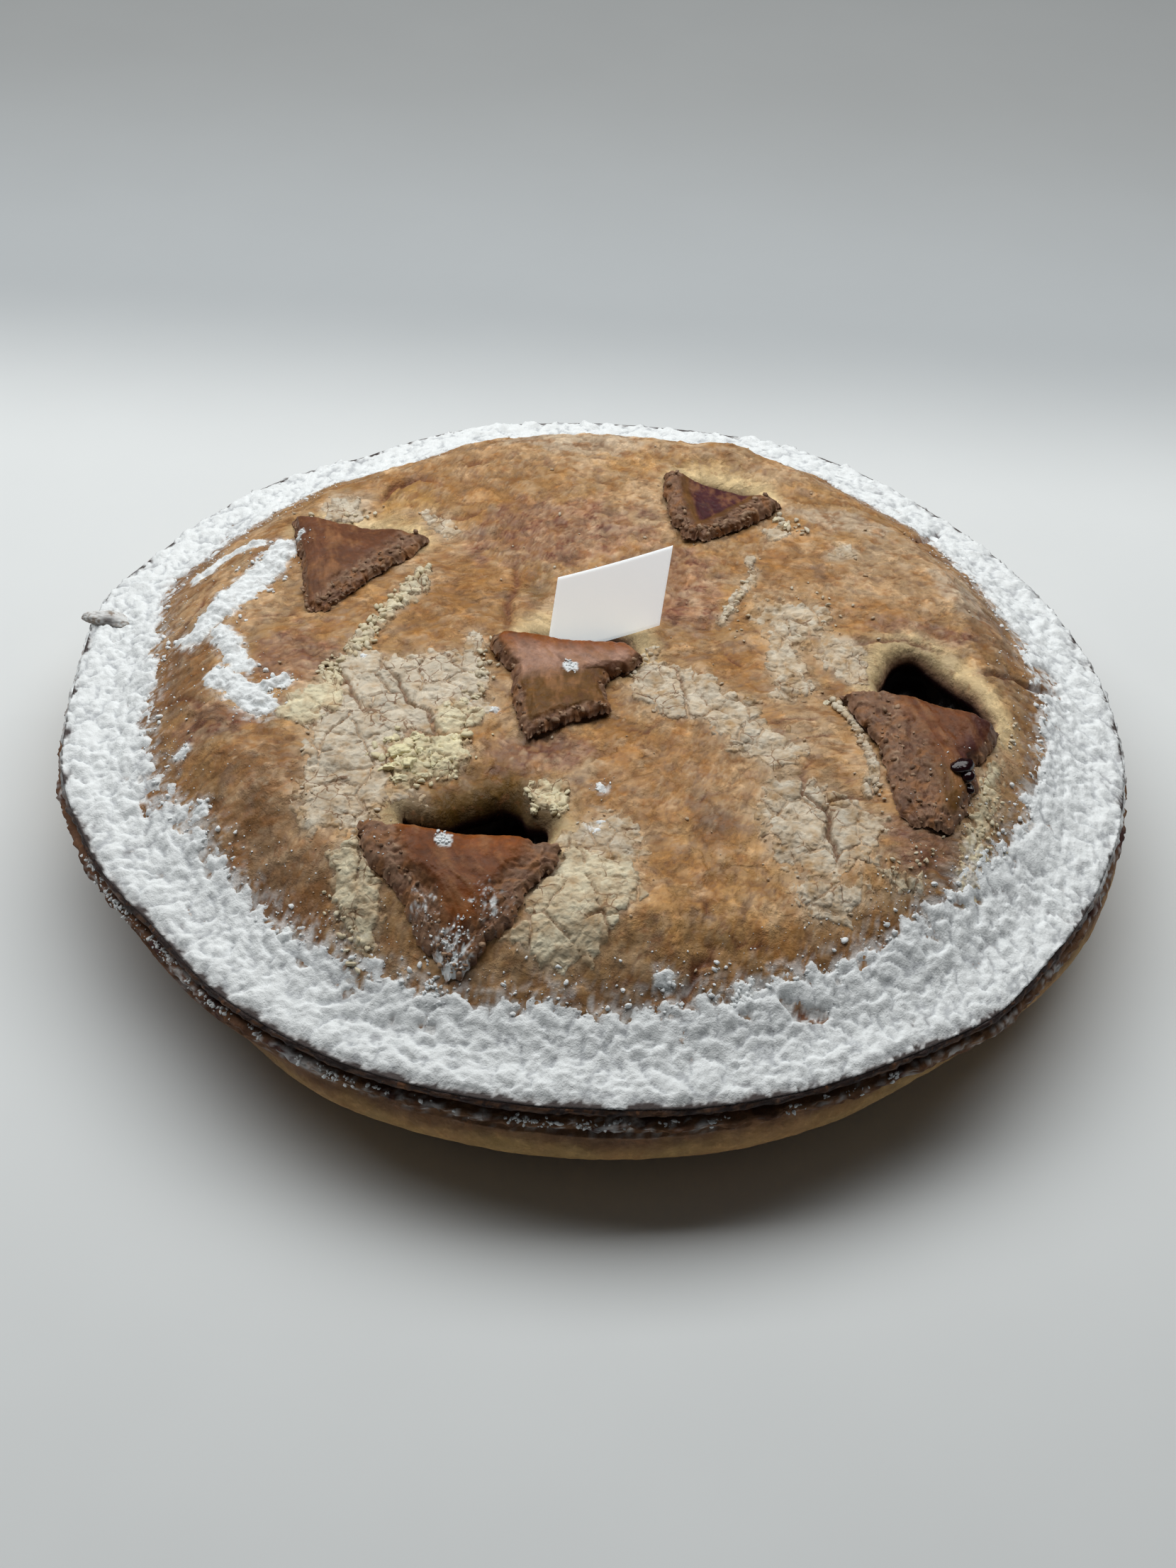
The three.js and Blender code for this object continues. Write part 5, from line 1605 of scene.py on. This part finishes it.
def rim_sugar(x, y):
    """Thickness of the rim's sugar, below zero where the lid shows; depth between heaps, which takes painted
    shade; way to the edge.
    """
    margin, to_edge, z = sugar_margin(x, y), -past_rim(x, y), lid_height(x, y)
    bend = 1.5 * FINE.fractal(x - 7, y, z, size=5.0, octaves=2)
    heaps = MIDDLE.billow(x + bend, y - bend, z, size=5.2, octaves=3, gain=0.5)
    small = FINE.billow(x + 9, y, z, size=1.7, octaves=2)
    wave = MIDDLE.fractal(x - 20, y, size=9.0, octaves=2)
    gaps = smooth(0.2, 0.5, MIDDLE.fractal(x + 50, y - 30, z, size=6.5, octaves=4, gain=0.6))
    gaps = gaps * mix(1.0, 0.25, smooth(3.0, 9.0, margin))
    thick = -1.6 + 2.85 * smooth(-8, 5, margin) + 1.7 * (heaps - 0.5)
    thick = thick + 0.45 * (small - 0.5) + 0.8 * wave - 1.8 * gaps
    # the outer border, burnt and hardly covered towards the front and its left
    front = sector(x, y, -168, -145, -70, -40)
    flakes = MIDDLE.fractal(x + 13, y + 70, size=3.6, octaves=4, gain=0.6)
    bare = smooth(mix(0.2, 1.9, front), -0.8, to_edge + 2.4 * flakes + 1.8 * wave)
    thick = thick - 2.6 * bare - mix(0.5, 0.9, front) * smooth(3.0, 0.3, to_edge)
    burnt = smooth(1.2, 0.6, oval_distance(x, y, *BURNT_SPOT) + 0.6 * wave)
    return thick - 3.0 * tears(x, y)[1] - 1.6 * burnt, smooth(0.34, 0.1, heaps), to_edge


def sugar_row(x, y, innermost):
    """One ring of the sugar's upper face: its points and colours."""
    thick, deep, to_edge = rim_sugar(x, y)
    if innermost:
        thick = np.full_like(thick, SKIN_SINK)
    # the burnt border keeps a thin film of sugar, so its colour carries the dust there
    film = smooth(10.0, 8.0, to_edge)
    grey = FINE.fractal(x, y, lid_height(x, y), size=1.6, octaves=3, gain=0.6)
    scant = smooth(0.35, -0.9, thick + 0.7 * grey) * film
    thick = np.where(thick < 0, 3 * thick, thick)
    thick = mix(thick, np.maximum(thick, SUGAR_FILM), film)
    cling = mix(1.0, 0.4, smooth(-0.2, 0.8, thick))
    relief = lid_relief(x, y, np.full_like(x, AWAY_FROM_CUTS))
    z = lid_height(x, y) + relief * cling + np.maximum(thick, SKIN_SINK)
    white = tinted(plain(SUGAR, x), WORN_SUGAR, 0.6 * smooth(0.5, 0.0, thick))
    # painted shade: the creases between the heaps are painted grey
    white = tinted(white, SUGAR_PAINTED_SHADE, 0.6 * deep)
    return np.stack([x, y, z], axis=1), tinted(white, RIM_BURNT, 0.95 * scant)


def build_rim_sugar(material):
    phi = np.arange(SUGAR_SEGMENTS) / SUGAR_SEGMENTS * TAU
    outer = rim_radius(phi) + 0.1
    rows, tints = [], []
    for share in np.linspace(0, 1, SUGAR_ROWS):
        row, tint = sugar_row(*polar(outer - SUGAR_REACH * (1 - share), phi), share == 0)
        rows.append(row)
        tints.append(tint)
    for share in SUGAR_UNDERSIDE:
        x, y = polar(outer - SUGAR_REACH * (1 - share) - 0.6 * share, phi)
        rows.append(np.stack([x, y, lid_height(x, y) - (1.9 - 0.9 * share)], axis=1))
        tints.append(plain(SUGAR, x))
    first = np.arange(SUGAR_SEGMENTS)
    faces = [grid_quads(len(rows), SUGAR_SEGMENTS, wrap=True)[:, ::-1],
             bridge((len(rows) - 1) * SUGAR_SEGMENTS + first, first)[:, ::-1]]
    return make_mesh("icing_sugar_powder", np.concatenate(rows), faces, {"tint": np.concatenate(tints)},
                     material, "icing_sugar", "sugar")


# ---------------------------------------------------------------- card
CARD = dict(width=31.0, height=19.7, slant=9.2, thickness=0.4, bow=1.0, lean=20.0, roll=19.9)
CARD_CORNER = (-14.7, 0.0, 51.3)
CARD_GRID = (24, 40)


def build_card(material):
    rows, columns = CARD_GRID
    v, u = np.meshgrid(np.linspace(0, 1, rows), np.linspace(0, 1, columns), indexing="ij")
    x = u * CARD["width"] + v * CARD["slant"]
    front = np.stack([x, -4 * CARD["bow"] * u * (1 - u), v * CARD["height"]], axis=-1).reshape(-1, 3)
    back = front + [0, CARD["thickness"], 0]
    lean = Matrix.Rotation(math.radians(-CARD["lean"]), 3, "X")
    roll = Matrix.Rotation(math.radians(-CARD["roll"]), 3, "Y")
    points = np.concatenate([front, back]) @ np.array(lean @ roll).T + np.array(CARD_CORNER)
    ring, count = border_ring(rows, columns), rows * columns
    faces = [grid_quads(rows, columns), grid_quads(rows, columns, start=count)[:, ::-1],
             bridge(ring, ring + count)[:, ::-1]]
    return make_mesh("label_card_bare", points, faces, {}, material, "label_card", "card")


# ---------------------------------------------------------------- lumps and crumbs
def icosphere(fineness):
    """Points and faces of a ball: 20 faces, and four times as many for each step of fineness."""
    mesh = bpy.data.meshes.new("pattern")
    bm = bmesh.new()
    bmesh.ops.create_icosphere(bm, subdivisions=fineness + 1, radius=1.0)
    bm.to_mesh(mesh)
    bm.free()
    points = np.array([v.co for v in mesh.vertices])
    faces = np.array([list(p.vertices) for p in mesh.polygons])
    bpy.data.meshes.remove(mesh)
    return points, faces


def surface_under(x, y):
    """Height of whatever lies at these places: a flap, or the lid without its pale crust and sugar."""
    z = crust_height(x, y)
    flap = FLAP_FIELD.at(x, y)
    for top, _, _ in FLAP_TOPS.values():
        for k in np.nonzero((flap < 0.5) & near_box(x, y, top[:, :2]))[0]:
            d = np.hypot(top[:, 0] - x[k], top[:, 1] - y[k])
            nearest = d.argmin()
            if d[nearest] < 1.0:
                z[k] = max(z[k], top[nearest, 2])
    return z


def chipped(pattern, count, cuts, rng):
    """Radius of the points of each of many balls after random planes cut pieces off them."""
    normals = rng.normal(size=(count, cuts, 3))
    normals /= np.linalg.norm(normals, axis=2)[..., None]
    depth = 0.5 + 0.4 * rng.random((count, cuts, 1))
    facing = np.einsum("ckd,pd->ckp", normals, pattern)
    reach = np.where(facing > 0.05, depth / np.maximum(facing, 0.05), 9.0)
    return np.minimum(1.0, reach.min(axis=1))


def scatter_lumps(name, spots, fineness, rough, material, slot, squash=0.75, cuts=8):
    """Joined uneven lumps from rows of x, y, height of the middle, size and colour."""
    pattern, pattern_faces = icosphere(fineness)
    rng = np.random.default_rng(len(spots))
    places, sizes, colours = spots[:, :3], spots[:, 3], spots[:, 4:7]
    count, corners = len(spots), len(pattern)
    turn = rng.random(count) * TAU
    stretch = np.stack([1 + 0.5 * rng.random(count), 1 - 0.3 * rng.random(count),
                        squash * (0.8 + 0.4 * rng.random(count))], axis=1)
    shift = 9.1 * np.arange(count)[:, None]
    px, py, pz = pattern.T
    reach = 1 + rough * FINE.fractal(px * 1.5 + shift, py * 1.5 + shift, pz * 1.5 + shift, octaves=3,
                                     gain=0.6)
    if cuts:
        reach = reach * chipped(pattern, count, cuts, rng)
    x, y, z = np.moveaxis(pattern[None] * reach[..., None] * stretch[:, None], -1, 0)
    c, s = np.cos(turn)[:, None], np.sin(turn)[:, None]
    shape = np.stack([x * c - y * s, x * s + y * c, z], axis=-1)
    points = (shape * sizes[:, None, None] + places[:, None]).reshape(-1, 3)
    faces = (pattern_faces[None] + corners * np.arange(count)[:, None, None]).reshape(-1, 3)
    layers = {"tint": np.repeat(colours, corners, axis=0), "shine": np.zeros(len(points))}
    return make_mesh(name, points, faces, layers, material, None, slot)


def lump_rows(x, y, size, colour, sink=0.15):
    """Rows for scatter_lumps of lumps resting on the surface."""
    z = surface_under(x, y) + size * (0.6 - sink)
    return np.column_stack([x, y, z, size, np.broadcast_to(colour, (len(x), 3))])


# points of a line, number, spread, size, freshness
CRUMB_LINES = [
    ([(-49, 25), (-54, 14), (-60, 2), (-63, -8)], 110, 2.4, 1.0, 0.4),
    ([(-63, -8), (-68, -16), (-70, -21)], 60, 2.6, 0.9, 0.3),
    ([(60.5, -18), (62, -22), (65, -28)], 36, 1.1, 1.0, 0.1),
    ([(65, -28), (68, -40), (70, -54)], 60, 1.0, 0.85, 0.0),
    ([(-28, -5), (-30, -18), (-32, -34)], 50, 3.4, 0.9, 0.2),
    ([(37, 29), (35, 20), (31, 11)], 30, 1.4, 0.85, 0.1),
    ([(13, -3), (10, -8), (8, -16)], 30, 1.2, 0.85, 0.1),
    ([(-52, -82), (-57, -94), (-52, -106)], 60, 4.0, 0.8, 0.3),
    ([(46, 62), (54, 54)], 20, 2.4, 1.0, 0.1),
    ([(30, 8), (60, 22)], 34, 9.0, 0.55, 0.1),
    ([(84, -64), (70, -80)], 26, 4.0, 0.6, 0.2),
    ([(98, -42), (96, -62)], 60, 4.0, 0.7, 0.3),
    ([(-70, -62), (-52, -72)], 30, 8.0, 0.6, 0.0),
    ([(105, -24), (108, -12)], 14, 1.6, 0.6, 0.1),
    ([(-82, 50), (-70, 56)], 24, 6.0, 0.8, 0.2),
    ([(-48, -50), (-36, -48)], 60, 7.0, 1.1, 0.6),
    ([(-46, -58), (-30, -40)], 40, 6.0, 0.8, 0.5),
    ([(-14, -60), (-7, -66)], 40, 4.5, 1.0, 0.5),
]
# jam drops and big soft lumps: x, y, size
JAM_DROPS = [(90.4, -42.6, 2.6), (91.8, -44.4, 2.0), (92.6, -46.4, 1.4)]
CREAM_LUMPS = [
    (-48.5, -50, 3.0), (-45.5, -54.5, 3.2), (-50, -55, 2.4), (-43, -48.5, 2.2), (-40, -52, 2.0),
    (-44, -44, 1.8),
    (-38, -46, 1.6), (-36, -50, 1.4), (-51, -45, 1.6), (-35, -42, 1.4), (-47, -58.5, 2.0), (-48, -53, 2.2),
    (-42, -56, 1.8), (-12, -62, 2.0), (-9, -65, 1.8), (-14, -65, 1.6), (-8, -60, 1.5), (-15, -60, 1.3),
    (-11, -58, 1.2), (-34, -29, 1.6), (-38, -31, 1.8), (-31, -27, 1.4), (49, 57, 1.6), (46, 60, 1.3),
    (62, -21, 1.3),
    (58, -19, 1.1),
]


# points of a line, number of grains, spread
GRAIN_LINES = [
    ([(-50, -80), (-57, -95), (-50, -108)], 120, 8.0), ([(92, -40), (98, -66)], 200, 10.0),
    ([(60, -95), (85, -80)], 90, 10.0), ([(-104, 30), (-112, 50)], 60, 8.0),
]
LOOSE_CRUMBS = 5200
LOOSE_REACH = 113
LEDGE_CLUMPS = 900
# way out from the rim and height of the base's ledge there
LEDGE_TOP = ([-1.0, 0.2, 1.1, 1.5], [31.1, 30.8, 30.3, 29.4])
TORN_CRUMBS = 56


def along_line(path, count, spread, rng):
    """Random places near a line."""
    path = np.array(path, float)
    t = rng.random(count) * (len(path) - 1)
    k = np.minimum(t.astype(int), len(path) - 2)
    return path[k] + (path[k + 1] - path[k]) * (t - k)[:, None] + rng.normal(size=(count, 2)) * spread * 0.5


def crumb_rows():
    """Pale crumbs along lines on the lid."""
    rng = np.random.default_rng(5)
    rows = []
    for path, count, spread, size, fresh in CRUMB_LINES:
        x, y = along_line(path, count, spread, rng).T
        free = (FLAP_FIELD.at(x, y) > 0.6) & (VENT_FIELD.at(x, y) > 2.5)
        x, y = x[free], y[free]
        sizes = size * (0.35 + 0.85 * rng.random(len(x)) ** 1.5)
        shade = tinted(plain(CREAM, x), TOASTED, 0.6 * rng.random(len(x)))
        rows.append(lump_rows(x, y, sizes, tinted(shade, FRESH_CREAM, np.full(len(x), fresh)), 0.0))
    return np.concatenate(rows)


def loose_rows():
    """Small pale crumbs all over the lid, more of them near the pale crust."""
    rng = np.random.default_rng(6)
    x, y = polar(LOOSE_REACH * np.sqrt(rng.random(LOOSE_CRUMBS)), rng.random(LOOSE_CRUMBS) * TAU)
    near = pale_share(x, y, ragged_wander(x, y))
    keep = rng.random(len(x)) < 0.03 + 1.1 * near * (1.05 - near)
    keep &= (FLAP_FIELD.at(x, y) > 0.4) & (VENT_FIELD.at(x, y) > 3.0)
    x, y = x[keep], y[keep]
    shade = tinted(plain(CREAM, x), GOLDEN, 0.7 * rng.random(len(x)))
    return lump_rows(x, y, 0.22 + 0.5 * rng.random(len(x)) ** 2, shade, 0.1)


def ring_places(rng, count, spread):
    """Random places near the inner edge of the rim's ring."""
    a = rng.random(count) * TAU
    edge = (SUGAR_EDGE + swell(a, SUGAR_SWELLS)) / RIM_RADIUS * rim_radius(a)
    return np.stack(polar(edge + 2.5 - np.abs(rng.normal(size=count)) * spread, a), axis=1)


def sugar_places(rng, ring, trail, spot):
    """Places for sugar along the rim's ring, the trails and the spots, each with a number and a spread."""
    places = [ring_places(rng, *ring)]
    for path, half in SUGAR_TRAILS:
        places.append(along_line(path, trail[0], half * trail[1], rng))
    for px, py, half in SUGAR_SPOTS:
        places.append(rng.normal(size=(spot[0], 2)) * half * spot[1] + (px, py))
    return places


def ledge_rows(rng):
    """Clumps of sugar that fell on the ledge of the base in front."""
    a = np.radians(rng.uniform(-158, -58, LEDGE_CLUMPS))
    out = np.clip(rng.normal(0.9, 0.5, len(a)), -0.8, 1.5)
    x, y = polar(rim_radius(a) + out, a)
    z = np.interp(out, *LEDGE_TOP) - 0.7 * ledge_gap(x, y)
    size = 0.2 + 0.45 * rng.random(len(a)) ** 2
    rows = np.column_stack([x, y, z, size, plain(SUGAR, x)])
    return rows[MIDDLE.fractal(x, y, size=9.0, octaves=3) > 0.0]


def clump_rows():
    """Clumps of sugar along the ring's inner edge, round the fallen sugar and on the ledge of the base."""
    rng = np.random.default_rng(12)
    x, y = np.concatenate(sugar_places(rng, (760, 3.6), (26, 1.7), (8, 0.5))).T
    free = (VENT_FIELD.at(x, y) > 1.5) & (FINE.fractal(x, y, size=7.0, octaves=2) > -0.12)
    x, y = x[free], y[free]
    rows = lump_rows(x, y, 0.3 + 0.6 * rng.random(len(x)) ** 2, SUGAR, 0.3)
    return np.concatenate([rows, ledge_rows(rng)])


def sugar_rows():
    """Grains of sugar at the same places and along a few lines of their own."""
    rng = np.random.default_rng(8)
    places = sugar_places(rng, (1900, 6.5), (90, 1.9), (20, 0.8))
    places += [along_line(path, count, spread, rng) for path, count, spread in GRAIN_LINES]
    x, y = np.concatenate(places).T
    free = VENT_FIELD.at(x, y) > 1.5
    x, y = x[free], y[free]
    return lump_rows(x, y, 0.12 + 0.26 * rng.random(len(x)) ** 3, SUGAR, 0.2)


# heaps of sugar on the flaps: x, y, spread, number, size
FLAP_SUGAR = [
    (-34, -84, 1.3, 30, 0.45), (-8, -19, 1.2, 22, 0.4), (-84, 36, 0.7, 12, 0.35), (-30, -107, 3.0, 60, 0.4),
    (-36, -103, 3.0, 30, 0.25), (-24, -101, 3.0, 30, 0.25), (90.4, -41.8, 0.6, 14, 0.22),
    (-33, -115, 2.6, 50, 0.6),
]


def flap_sugar_rows():
    """Grains of sugar heaped on the flaps."""
    rng = np.random.default_rng(9)
    rows = []
    for px, py, spread, count, size in FLAP_SUGAR:
        x, y = (rng.normal(size=(count, 2)) * spread * 0.8 + (px, py)).T
        rows.append(lump_rows(x, y, size * (0.5 + 0.7 * rng.random(count)), SUGAR, 0.25))
    return np.concatenate(rows)


def torn_rows():
    """Small crumbs that stand on the torn sides of the flaps."""
    rng = np.random.default_rng(10)
    rows = []
    for top, torn, crumble in FLAP_TOPS.values():
        good = np.nonzero((torn > 0.75) & (crumble > -0.3))[0]
        x, y, z = top[rng.choice(good, TORN_CRUMBS, replace=False)].T
        size = 0.35 + 0.8 * rng.random(TORN_CRUMBS) ** 2
        shade = tinted(plain(TORN_PALE, x), TORN_DARK, 0.7 * rng.random(TORN_CRUMBS))
        rows.append(np.column_stack([x, y, z + 0.1 * size, size, shade]))
    return np.concatenate(rows)


# the small scrap at the rim: its middle, half its sizes and the bearing it points to
NUB_PLACE = (-136.6, 23.2, 35.4)
NUB_HALF = (7.0, 2.7, 2.1)
NUB_BEARING = math.radians(171)


def build_nub(material):
    """A scorched roll of pastry that sticks out of the rim's left side, dusted with sugar, with a dark
    opening that is only painted shade.
    """
    pattern, faces = icosphere(4)
    px, py, pz = pattern.T
    lumps = 1 + 0.3 * FINE.fractal(px, py, pz, size=0.8, octaves=4, gain=0.6)
    along, across, up = NUB_HALF[0] * px, NUB_HALF[1] * py * (1 - 0.25 * px), NUB_HALF[2] * pz
    along, across, up = along * lumps, across * lumps, up * lumps + 0.7 * (1 - px * px)
    c, s = math.cos(NUB_BEARING), math.sin(NUB_BEARING)
    x, y = NUB_PLACE[0] + along * c - across * s, NUB_PLACE[1] + along * s + across * c
    z = NUB_PLACE[2] + up
    # painted shade: a dark opening painted on the closed roll
    nub_hole_shade = bell(np.hypot(px + 0.25, py - 0.75) / 0.32)
    grain = FINE.fractal(x, y, z, size=1.6, octaves=3, gain=0.6)
    colour = tinted(plain(NUB_GREY, x), SUGAR, 0.7 * smooth(-0.1, 0.3, grain + 0.3 * pz))
    colour = tinted(colour, DARK_BROWN, 0.8 * smooth(0.15, 0.4, grain - 0.35 * pz))
    colour = tinted(colour, BURNT * 0.8, 0.9 * nub_hole_shade)
    layers = {"tint": colour, "shine": np.zeros(len(x))}
    return make_mesh("rim_nub", np.stack([x, y, z], axis=1), faces, layers, material, None, "crust_lid")


def soft_rows():
    """Big soft lumps of pale dough, the later ones less fresh."""
    x, y, size = np.array(CREAM_LUMPS).T
    shade = tinted(plain(FRESH_CREAM, x), CREAM, np.linspace(0, 0.7, len(x)))
    return lump_rows(x, y, size * 0.8, shade, 0.3)


def jam_rows():
    x, y, size = np.array(JAM_DROPS).T
    return lump_rows(x, y, size, JAM_DROP, 0.35)


# ---------------------------------------------------------------- camera, light and floor
# fitted to the outline of the rim in the photo
CAMERA_PLACE = (0.0, -481.8, 434.3)
CAMERA_PITCH = math.radians(41.53)
CAMERA_YAW = math.radians(-0.19)
CAMERA_ROLL = math.radians(3.57)
PICTURE_HEIGHT = 2212
FOCAL_PIXELS = 3300.0
SENSOR = 36.0


def build_camera():
    cp, sp = math.cos(CAMERA_PITCH), math.sin(CAMERA_PITCH)
    cy, sy = math.cos(CAMERA_YAW), math.sin(CAMERA_YAW)
    forward = Vector((sy * cp, cy * cp, -sp))
    right = Vector((cy, -sy, 0.0))
    up = right.cross(forward)
    cr, sr = math.cos(CAMERA_ROLL), math.sin(CAMERA_ROLL)
    right, up = cr * right + sr * up, cr * up - sr * right
    data = bpy.data.cameras.new("camera")
    data.sensor_fit = "VERTICAL"
    data.sensor_height = SENSOR
    data.lens = FOCAL_PIXELS / PICTURE_HEIGHT * SENSOR
    data.clip_start = 0.01
    camera = bpy.data.objects.new("camera", data)
    turn = Matrix((right, up, -forward)).transposed().to_4x4()
    camera.matrix_world = Matrix.Translation(Vector(CAMERA_PLACE) * MM) @ turn
    bpy.context.scene.collection.objects.link(camera)
    bpy.context.scene.camera = camera


def area_light(name, place, target, size, power, colour):
    data = bpy.data.lights.new(name, "AREA")
    data.shape = "RECTANGLE"
    data.size, data.size_y = size
    data.energy = power
    data.color = colour
    light = bpy.data.objects.new(name, data)
    light.location = place
    light.rotation_euler = (Vector(target) - Vector(place)).to_track_quat("-Z", "Y").to_euler()
    bpy.context.scene.collection.objects.link(light)


FLOOR_REACH = 3.0


def build_stage():
    """A pale floor, painted greyer further behind the pie as painted shade."""
    r = FLOOR_REACH / MM
    mesh = bpy.data.meshes.new("floor")
    fill_mesh(mesh, [(-r, -r, 0), (r, -r, 0), (r, r, 0), (-r, r, 0)], np.array([(0, 1, 2, 3)]))
    s = Shader("floor_paper", specular_ior_level=0.15)
    split = s.node("ShaderNodeSeparateXYZ")
    s.feed(split.inputs[0], s.position)
    depth = split.outputs["Y"]
    paper = s.blend(s.ramp(depth, 0.15, 0.27), PAPER, PAPER_BEHIND_SHADED)
    paper = s.blend(s.ramp(depth, 0.27, 0.48), paper, PAPER_FAR_SHADED)
    mesh.materials.append(s.finish(s.tint(paper, s.noise(60.0), 0.01), 0.7))
    floor = bpy.data.objects.new("floor", mesh)
    bpy.context.scene.collection.objects.link(floor)


def build_light():
    world = bpy.data.worlds.new("studio")
    bpy.context.scene.world = world
    world.use_nodes = True
    background = world.node_tree.nodes["Background"]
    background.inputs["Color"].default_value = (0.95, 0.98, 1.0, 1)
    background.inputs["Strength"].default_value = 0.04
    area_light("ceiling_light", (-0.10, 0.30, 0.78), (-0.08, 0.18, 0), (1.6, 0.62), 10.8, (1.0, 1.0, 0.99))


def build_pie():
    lid = crust_material("crust_lid_golden", roughness=0.44, relief=0.2, mottle=0.13, specks=0.42, flakes=0.1,
                         specular=0.22)
    flap = crust_material("crust_flap_brown", roughness=0.5, relief=0.18, mottle=0.18, specks=0.3,
                          specular=0.14)
    base = crust_material("crust_base_sandy", roughness=0.75, relief=0.3, mottle=0.14, specks=0.4)
    crumb = crust_material("crust_crumbs", roughness=0.72, relief=0.12, mottle=0.06, specks=0.14)
    pale = pale_crust_material()
    powder = sugar_material()
    build_lid(lid)
    build_base(base)
    build_filling(jam_material("cherry_filling_gloss", CHERRY, 0.3, 0.3))
    for seed, (name, form) in enumerate(FLAPS.items(), 20):
        build_flap(name, form, flap, seed)
    build_rim_sugar(powder)
    build_card(card_material())
    lay_skin("crust_pale_left", (-84, -112), (-22, 64), pale_skin, pale, "crust_lid")
    lay_skin("crust_pale_right", (-22, -114), (112, 64), pale_skin, pale, "crust_lid")
    lay_skin("sugar_fallen", (-116, -112), (76, 44), sugar_skin, powder, "sugar")
    scatter_lumps("crust_crumbs", crumb_rows(), 1, 0.55, crumb, "crust_lid")
    scatter_lumps("crust_soft_lumps", soft_rows(), 3, 0.7, crumb, "crust_lid", cuts=10)
    scatter_lumps("crust_loose_crumbs", loose_rows(), 0, 0.3, crumb, "crust_lid")
    scatter_lumps("flap_crumbs", torn_rows(), 0, 0.6, flap, "crust_flap", squash=0.8)
    scatter_lumps("sugar_clumps", clump_rows(), 1, 0.45, powder, "sugar", squash=0.8)
    grains = np.concatenate([sugar_rows(), flap_sugar_rows()])
    scatter_lumps("sugar_specks", grains, 0, 0.35, powder, "sugar", squash=0.8)
    build_nub(crumb)
    scatter_lumps("jam_drops", jam_rows(), 2, 0.25, jam_material("jam_gloss", JAM, 0.06, 0.5), "filling",
                  cuts=0)


bpy.context.scene.view_settings.view_transform = "Standard"
build_camera()
build_stage()
build_light()
build_pie()
